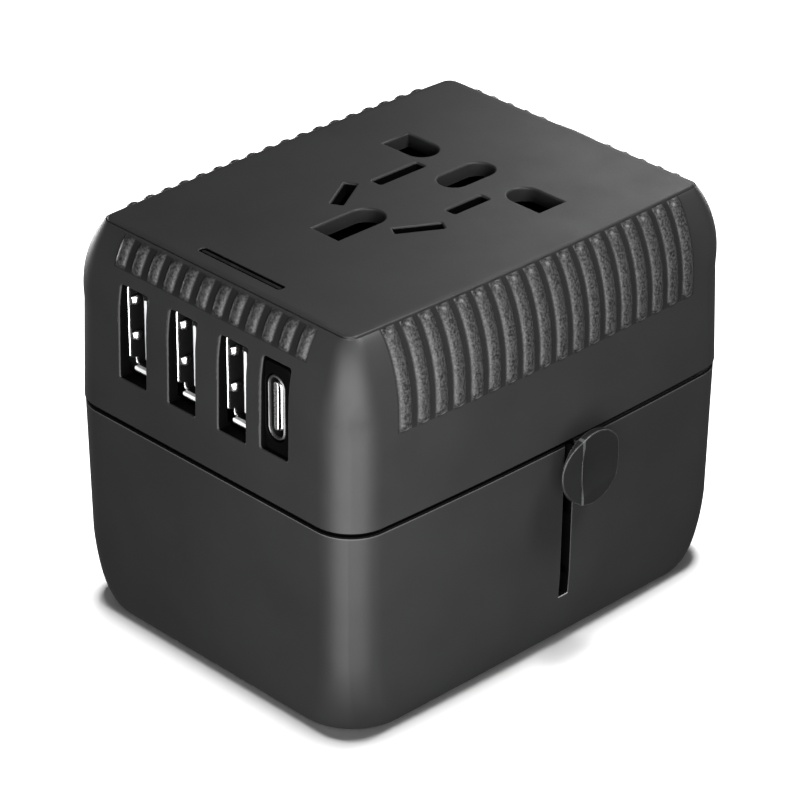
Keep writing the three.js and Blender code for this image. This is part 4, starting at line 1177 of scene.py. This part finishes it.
def usb_c_bezel():
    """The recessed plate around the shell, in the casing's painted-shade material."""
    low, high = mm_box("usb_c_bezel")
    middle = middle_of("usb_c_shell")
    plate = rounded_rectangle(middle.x, middle.z, high.x - low.x - 1.3, high.z - low.z - 1.2, 0.8)
    bezel = mesh_from("usb_c_bezel_body", [bar(plate, across_y, low.y, high.y - 1.2, 0.15)])
    mouth = rounded_rectangle(middle.x + USB_C_ASIDE, middle.z, 3.6, 9.4, 1.78, 12)
    carve(bezel, [hole(mouth, lambda u, v, out: (u, low.y - out, v), 6.0, 0.15)])
    stand_for(dressed(bezel, CASING_PAINTED_SHADE), "usb_c_bezel")


def usb_c_tongue():
    """The centre tongue, bright at its front and with painted shade behind it, and the thin bright band
    around it, with painted shade inside.
    """
    low, high = mm_box("usb_c_tongue")
    middle = middle_of("usb_c_shell")
    outline = rounded_rectangle(middle.x - 0.75, middle.z, 0.75, high.z - low.z, 0.33, 6)
    tongue = mesh_from("usb_c_tongue_body", [bar(outline, across_y, low.y, high.y, 0.12)])
    # Painted shade behind the tongue's front.
    for polygon in tongue.data.polygons:
        polygon.material_index = int(polygon.center.y / MM > low.y + 0.4)
    stand_for(dressed(tongue, MATERIALS["port_metal"], PORT_PAINTED_SHADE), "usb_c_tongue")
    outline = rounded_rectangle(middle.x - 0.45, middle.z, 1.1, high.z - low.z - 0.3, 0.53, 10)
    rings = receptacle(outline, low.y + 0.1, high.y, 0.2, 0.03, lambda u, v: 0.0)
    # Painted shade on the band's inside.
    band = mesh_from("usb_c_tongue_band", [rings], closed=True, shaded_bands=2)
    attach(dressed(band, MATERIALS["port_metal"], PORT_PAINTED_SHADE), BODY_OF["usb_c_tongue"])


# ---------- pins and spring ----------
SHANK_RADIUS = 1.55  # of the round shank that holds a pin in its carriage
BLADE_SHANK_RADIUS = 1.7
SHANK_LENGTH = 6.5
BLADE_SIZE = (1.5, 6.35)
BLADE_EYE_RADIUS = 1.6
BLADE_EYE_RISE = 3.9  # of the eye's middle over the blade's tip


def upright(u, v, out):
    return (u, v, out)


def two_tone(piece, above):
    """Gives the piece's second material to its faces above a height."""
    for polygon in piece.data.polygons:
        polygon.material_index = int(polygon.center.z > above * MM)


def round_pin(node):
    """A round pin with a domed tip and a plastic sleeve over its upper half."""
    low, high = mm_box(node)
    middle = middle_of(node)
    radius = (high.x - low.x) / 2
    angles = (0.02, 0.3, 0.6, 0.9, 1.2, 1.4, QUARTER)
    tip = [(radius * math.sin(a), low.z + 2.0 * (1 - math.cos(a))) for a in angles]
    shank_z = high.z - SHANK_LENGTH
    sleeve_z = low.z + 9.0
    profile = tip + [
        (radius, sleeve_z - 0.15),
        (radius - 0.12, sleeve_z - 0.1),
        (radius - 0.12, sleeve_z + 0.05),
        (radius, sleeve_z + 0.12),
        (radius, shank_z),
        (SHANK_RADIUS, shank_z),
        (SHANK_RADIUS, high.z),
    ]
    pin = mesh_from(f"{node}_body", [lathe(profile, middle.x, middle.y)])
    dressed(pin, MATERIALS["pin_metal"], SLEEVE_PLASTIC)
    two_tone(pin, sleeve_z)
    stand_for(pin, node)


def bar_pin(node, sleeved):
    """A rectangular pin with a tapered tip, and a plastic upper half where sleeved."""
    low, high = mm_box(node)
    middle = middle_of(node)
    outline = rounded_rectangle(middle.x, middle.y, high.x - low.x, high.y - low.y, 0.35)
    shank_z = high.z - SHANK_LENGTH
    sleeve_z = low.z + 8.7
    metal_part = bar(outline, upright, low.z, sleeve_z, 1.1)
    upper = bar(outline, upright, sleeve_z, shank_z, 0.08)
    shank = lathe([(SHANK_RADIUS, shank_z - 0.2), (SHANK_RADIUS, high.z)], middle.x, middle.y, 24)
    pin = mesh_from(f"{node}_body", [metal_part + upper])
    carve(pin, [shank], "UNION")
    dressed(pin, MATERIALS["pin_metal"], SLEEVE_PLASTIC)
    if sleeved:
        two_tone(pin, sleeve_z + 0.01)
    stand_for(pin, node)


def blade(node):
    """A flat blade with an eye near its tip, under the round collar and shank that it turns on."""
    low, high = mm_box(node)
    middle = middle_of(node)
    collar_z = high.z - SHANK_LENGTH
    outline = rounded_rectangle(middle.x, middle.y, *BLADE_SIZE, 0.3)
    piece = mesh_from(f"{node}_body", [bar(outline, upright, low.z, collar_z - 0.1, 0.35)])
    eye = circle(middle.y, low.z + BLADE_EYE_RISE, BLADE_EYE_RADIUS, 32)
    carve(piece, [bar(eye, lambda u, v, out: (middle.x + out, u, v), -2, 2)])
    collar = [(3.2, collar_z - 1.0), (3.4, collar_z - 0.8), (3.4, collar_z - 0.2), (3.2, collar_z)]
    shank = [(BLADE_SHANK_RADIUS, collar_z), (BLADE_SHANK_RADIUS, high.z)]
    flange = lathe(collar + shank, middle.x, middle.y, 36)
    carve(piece, [flange], "UNION")
    stand_for(dressed(piece, MATERIALS["pin_metal"]), node)


def shutter_spring():
    """A coil between the shutter and a post of the upper shell."""
    low, high = mm_box("shutter_spring")
    middle = middle_of("shutter_spring")
    wire, turns, steps, sides = 0.22, 5, 24, 10
    radius = (high.x - low.x) / 2 - wire
    rings = []
    for i in range(turns * steps + 1):
        t = i / (turns * steps)
        angle = t * turns * 2 * math.pi
        spoke = Vector((math.cos(angle), 0, math.sin(angle)))
        centre = Vector((middle.x, lerp(low.y + wire, high.y - wire, t), middle.z)) + spoke * radius
        points = []
        for j in range(sides):
            around = j / sides * 2 * math.pi
            side = spoke * math.cos(around) + Vector((0, 1, 0)) * math.sin(around)
            points.append(centre + side * wire)
        rings.append(points)
    spring = mesh_from("shutter_spring_wire", [rings])
    dressed(spring, MATERIALS["spring_steel"])
    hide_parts("shutter_spring")
    start, end = ((0, y * MM, middle.z * MM) for y in (low.y, high.y))
    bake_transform(spring)
    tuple(start)
    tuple(end)


# ---------- stage ----------
CAMERA_AZIMUTH = 45.724
CAMERA_ELEVATION = 29.04
CAMERA_ROLL = 0.309
CAMERA_DISTANCE = 492.64  # from the middle of the seam
CAMERA_ASIDE = -0.325
CAMERA_RISE = -3.264
CAMERA_LENS = 168.69


def area_light(name, place, size, power, target=(0, 0, 30), lit=None, spared=None):
    """A softbox aimed at a place. It lights only the lit object, or all but the spared one, where given."""
    light = bpy.data.lights.new(name, "AREA")
    light.shape = "RECTANGLE"
    light.size, light.size_y = size[0] * MM, size[1] * MM
    light.energy = power
    lamp = bpy.data.objects.new(name, light)
    lamp.location = Vector(place) * MM
    lamp.rotation_mode = "QUATERNION"
    lamp.rotation_quaternion = (Vector(target) - Vector(place)).to_track_quat("-Z", "Y")
    bpy.context.scene.collection.objects.link(lamp)
    if lit or spared:
        receivers = bpy.data.collections.new(f"{name}_lit")
        receivers.objects.link(lit or spared)
        state = "INCLUDE" if lit else "EXCLUDE"
        receivers.collection_objects[0].light_linking.link_state = state
        lamp.light_linking.receiver_collection = receivers


def studio(paper):
    """White surroundings, one wash over the floor and five softboxes for the adapter alone."""
    scene = bpy.context.scene
    scene.view_settings.view_transform = "Standard"
    world = bpy.data.worlds.new("studio")
    world.use_nodes = True
    world.node_tree.nodes["Background"].inputs["Color"].default_value = (1, 1, 1, 1)
    world.node_tree.nodes["Background"].inputs["Strength"].default_value = 0.15
    scene.world = world
    area_light("paper_wash", (-30, 60, 1500), (420, 420), 56.0, lit=paper)
    area_light("behind", (-68, 149, 150), (70, 90), 0.1, (15, 10, 56), spared=paper)
    area_light("rim_right", (135, 45, 240), (70, 70), 0.85, spared=paper)
    area_light("corner_front", (100, -108, 18), (190, 190), 1.05, (20, -28, 20), spared=paper)
    area_light("left_fill", (-270, 20, 22), (200, 60), 0.7, (0, 0, 22), spared=paper)
    area_light("back_fill", (-120, 260, 22), (200, 60), 0.4, (0, 0, 22), spared=paper)


def floor():
    """A wide sheet of white paper, which the adapter neither mirrors nor picks up light from."""
    size = 3000
    mesh = bpy.data.meshes.new("floor")
    corners = [(x * size * MM, y * size * MM, 0) for x, y in ((-1, -1), (1, -1), (1, 1), (-1, 1))]
    mesh.from_pydata(corners, [], [(0, 1, 2, 3)])
    plane = bpy.data.objects.new("floor", mesh)
    bpy.context.scene.collection.objects.link(plane)
    surface = Surface("floor_paper")
    shade = surface.ranged(surface.noise(60, 2), 0.3, 0.7)
    color = surface.blend(shade, grey(0.86), grey(0.88))
    mesh.materials.append(surface.done(color, surface.ranged(shade, 0, 1, 0.6, 0.65)))
    plane.visible_diffuse = False
    plane.visible_glossy = False
    return plane


def camera():
    azimuth, elevation, roll = map(math.radians, (CAMERA_AZIMUTH, CAMERA_ELEVATION, CAMERA_ROLL))
    level = Vector((math.cos(azimuth), math.sin(azimuth), 0))
    ahead = Vector((math.sin(azimuth), -math.cos(azimuth), 0))
    back = ahead * math.cos(elevation) + Vector((0, 0, math.sin(elevation)))
    above = back.cross(level)
    right = level * math.cos(roll) + above * math.sin(roll)
    up = above * math.cos(roll) - level * math.sin(roll)
    middle = Vector((0, 0, SEAM_Z))
    place = middle + back * CAMERA_DISTANCE + right * CAMERA_ASIDE + up * CAMERA_RISE
    lens = bpy.data.cameras.new("camera")
    lens.lens = CAMERA_LENS
    lens.sensor_width = 36
    lens.clip_start, lens.clip_end = 0.01, 20
    eye = bpy.data.objects.new("camera", lens)
    axes = Matrix((right, up, back)).transposed()
    eye.matrix_world = Matrix.Translation(place * MM) @ axes.to_4x4()
    bpy.context.scene.collection.objects.link(eye)
    bpy.context.scene.camera = eye


camera()
studio(floor())
upper_shell()
lower_shell()
for face, node in SLOT_LINES:
    knob(face, node)
for i in USB_A_PORTS:
    usb_a_shell(i)
    usb_a_springs(i)
    usb_a_tongue(i)
usb_c_shell()
usb_c_bezel()
usb_c_tongue()
for node in EU_PINS:
    round_pin(node)
for node in UK_PINS:
    bar_pin(node, sleeved=node != "uk_pin_earth")
for node in US_BLADES:
    blade(node)
shutter_spring()
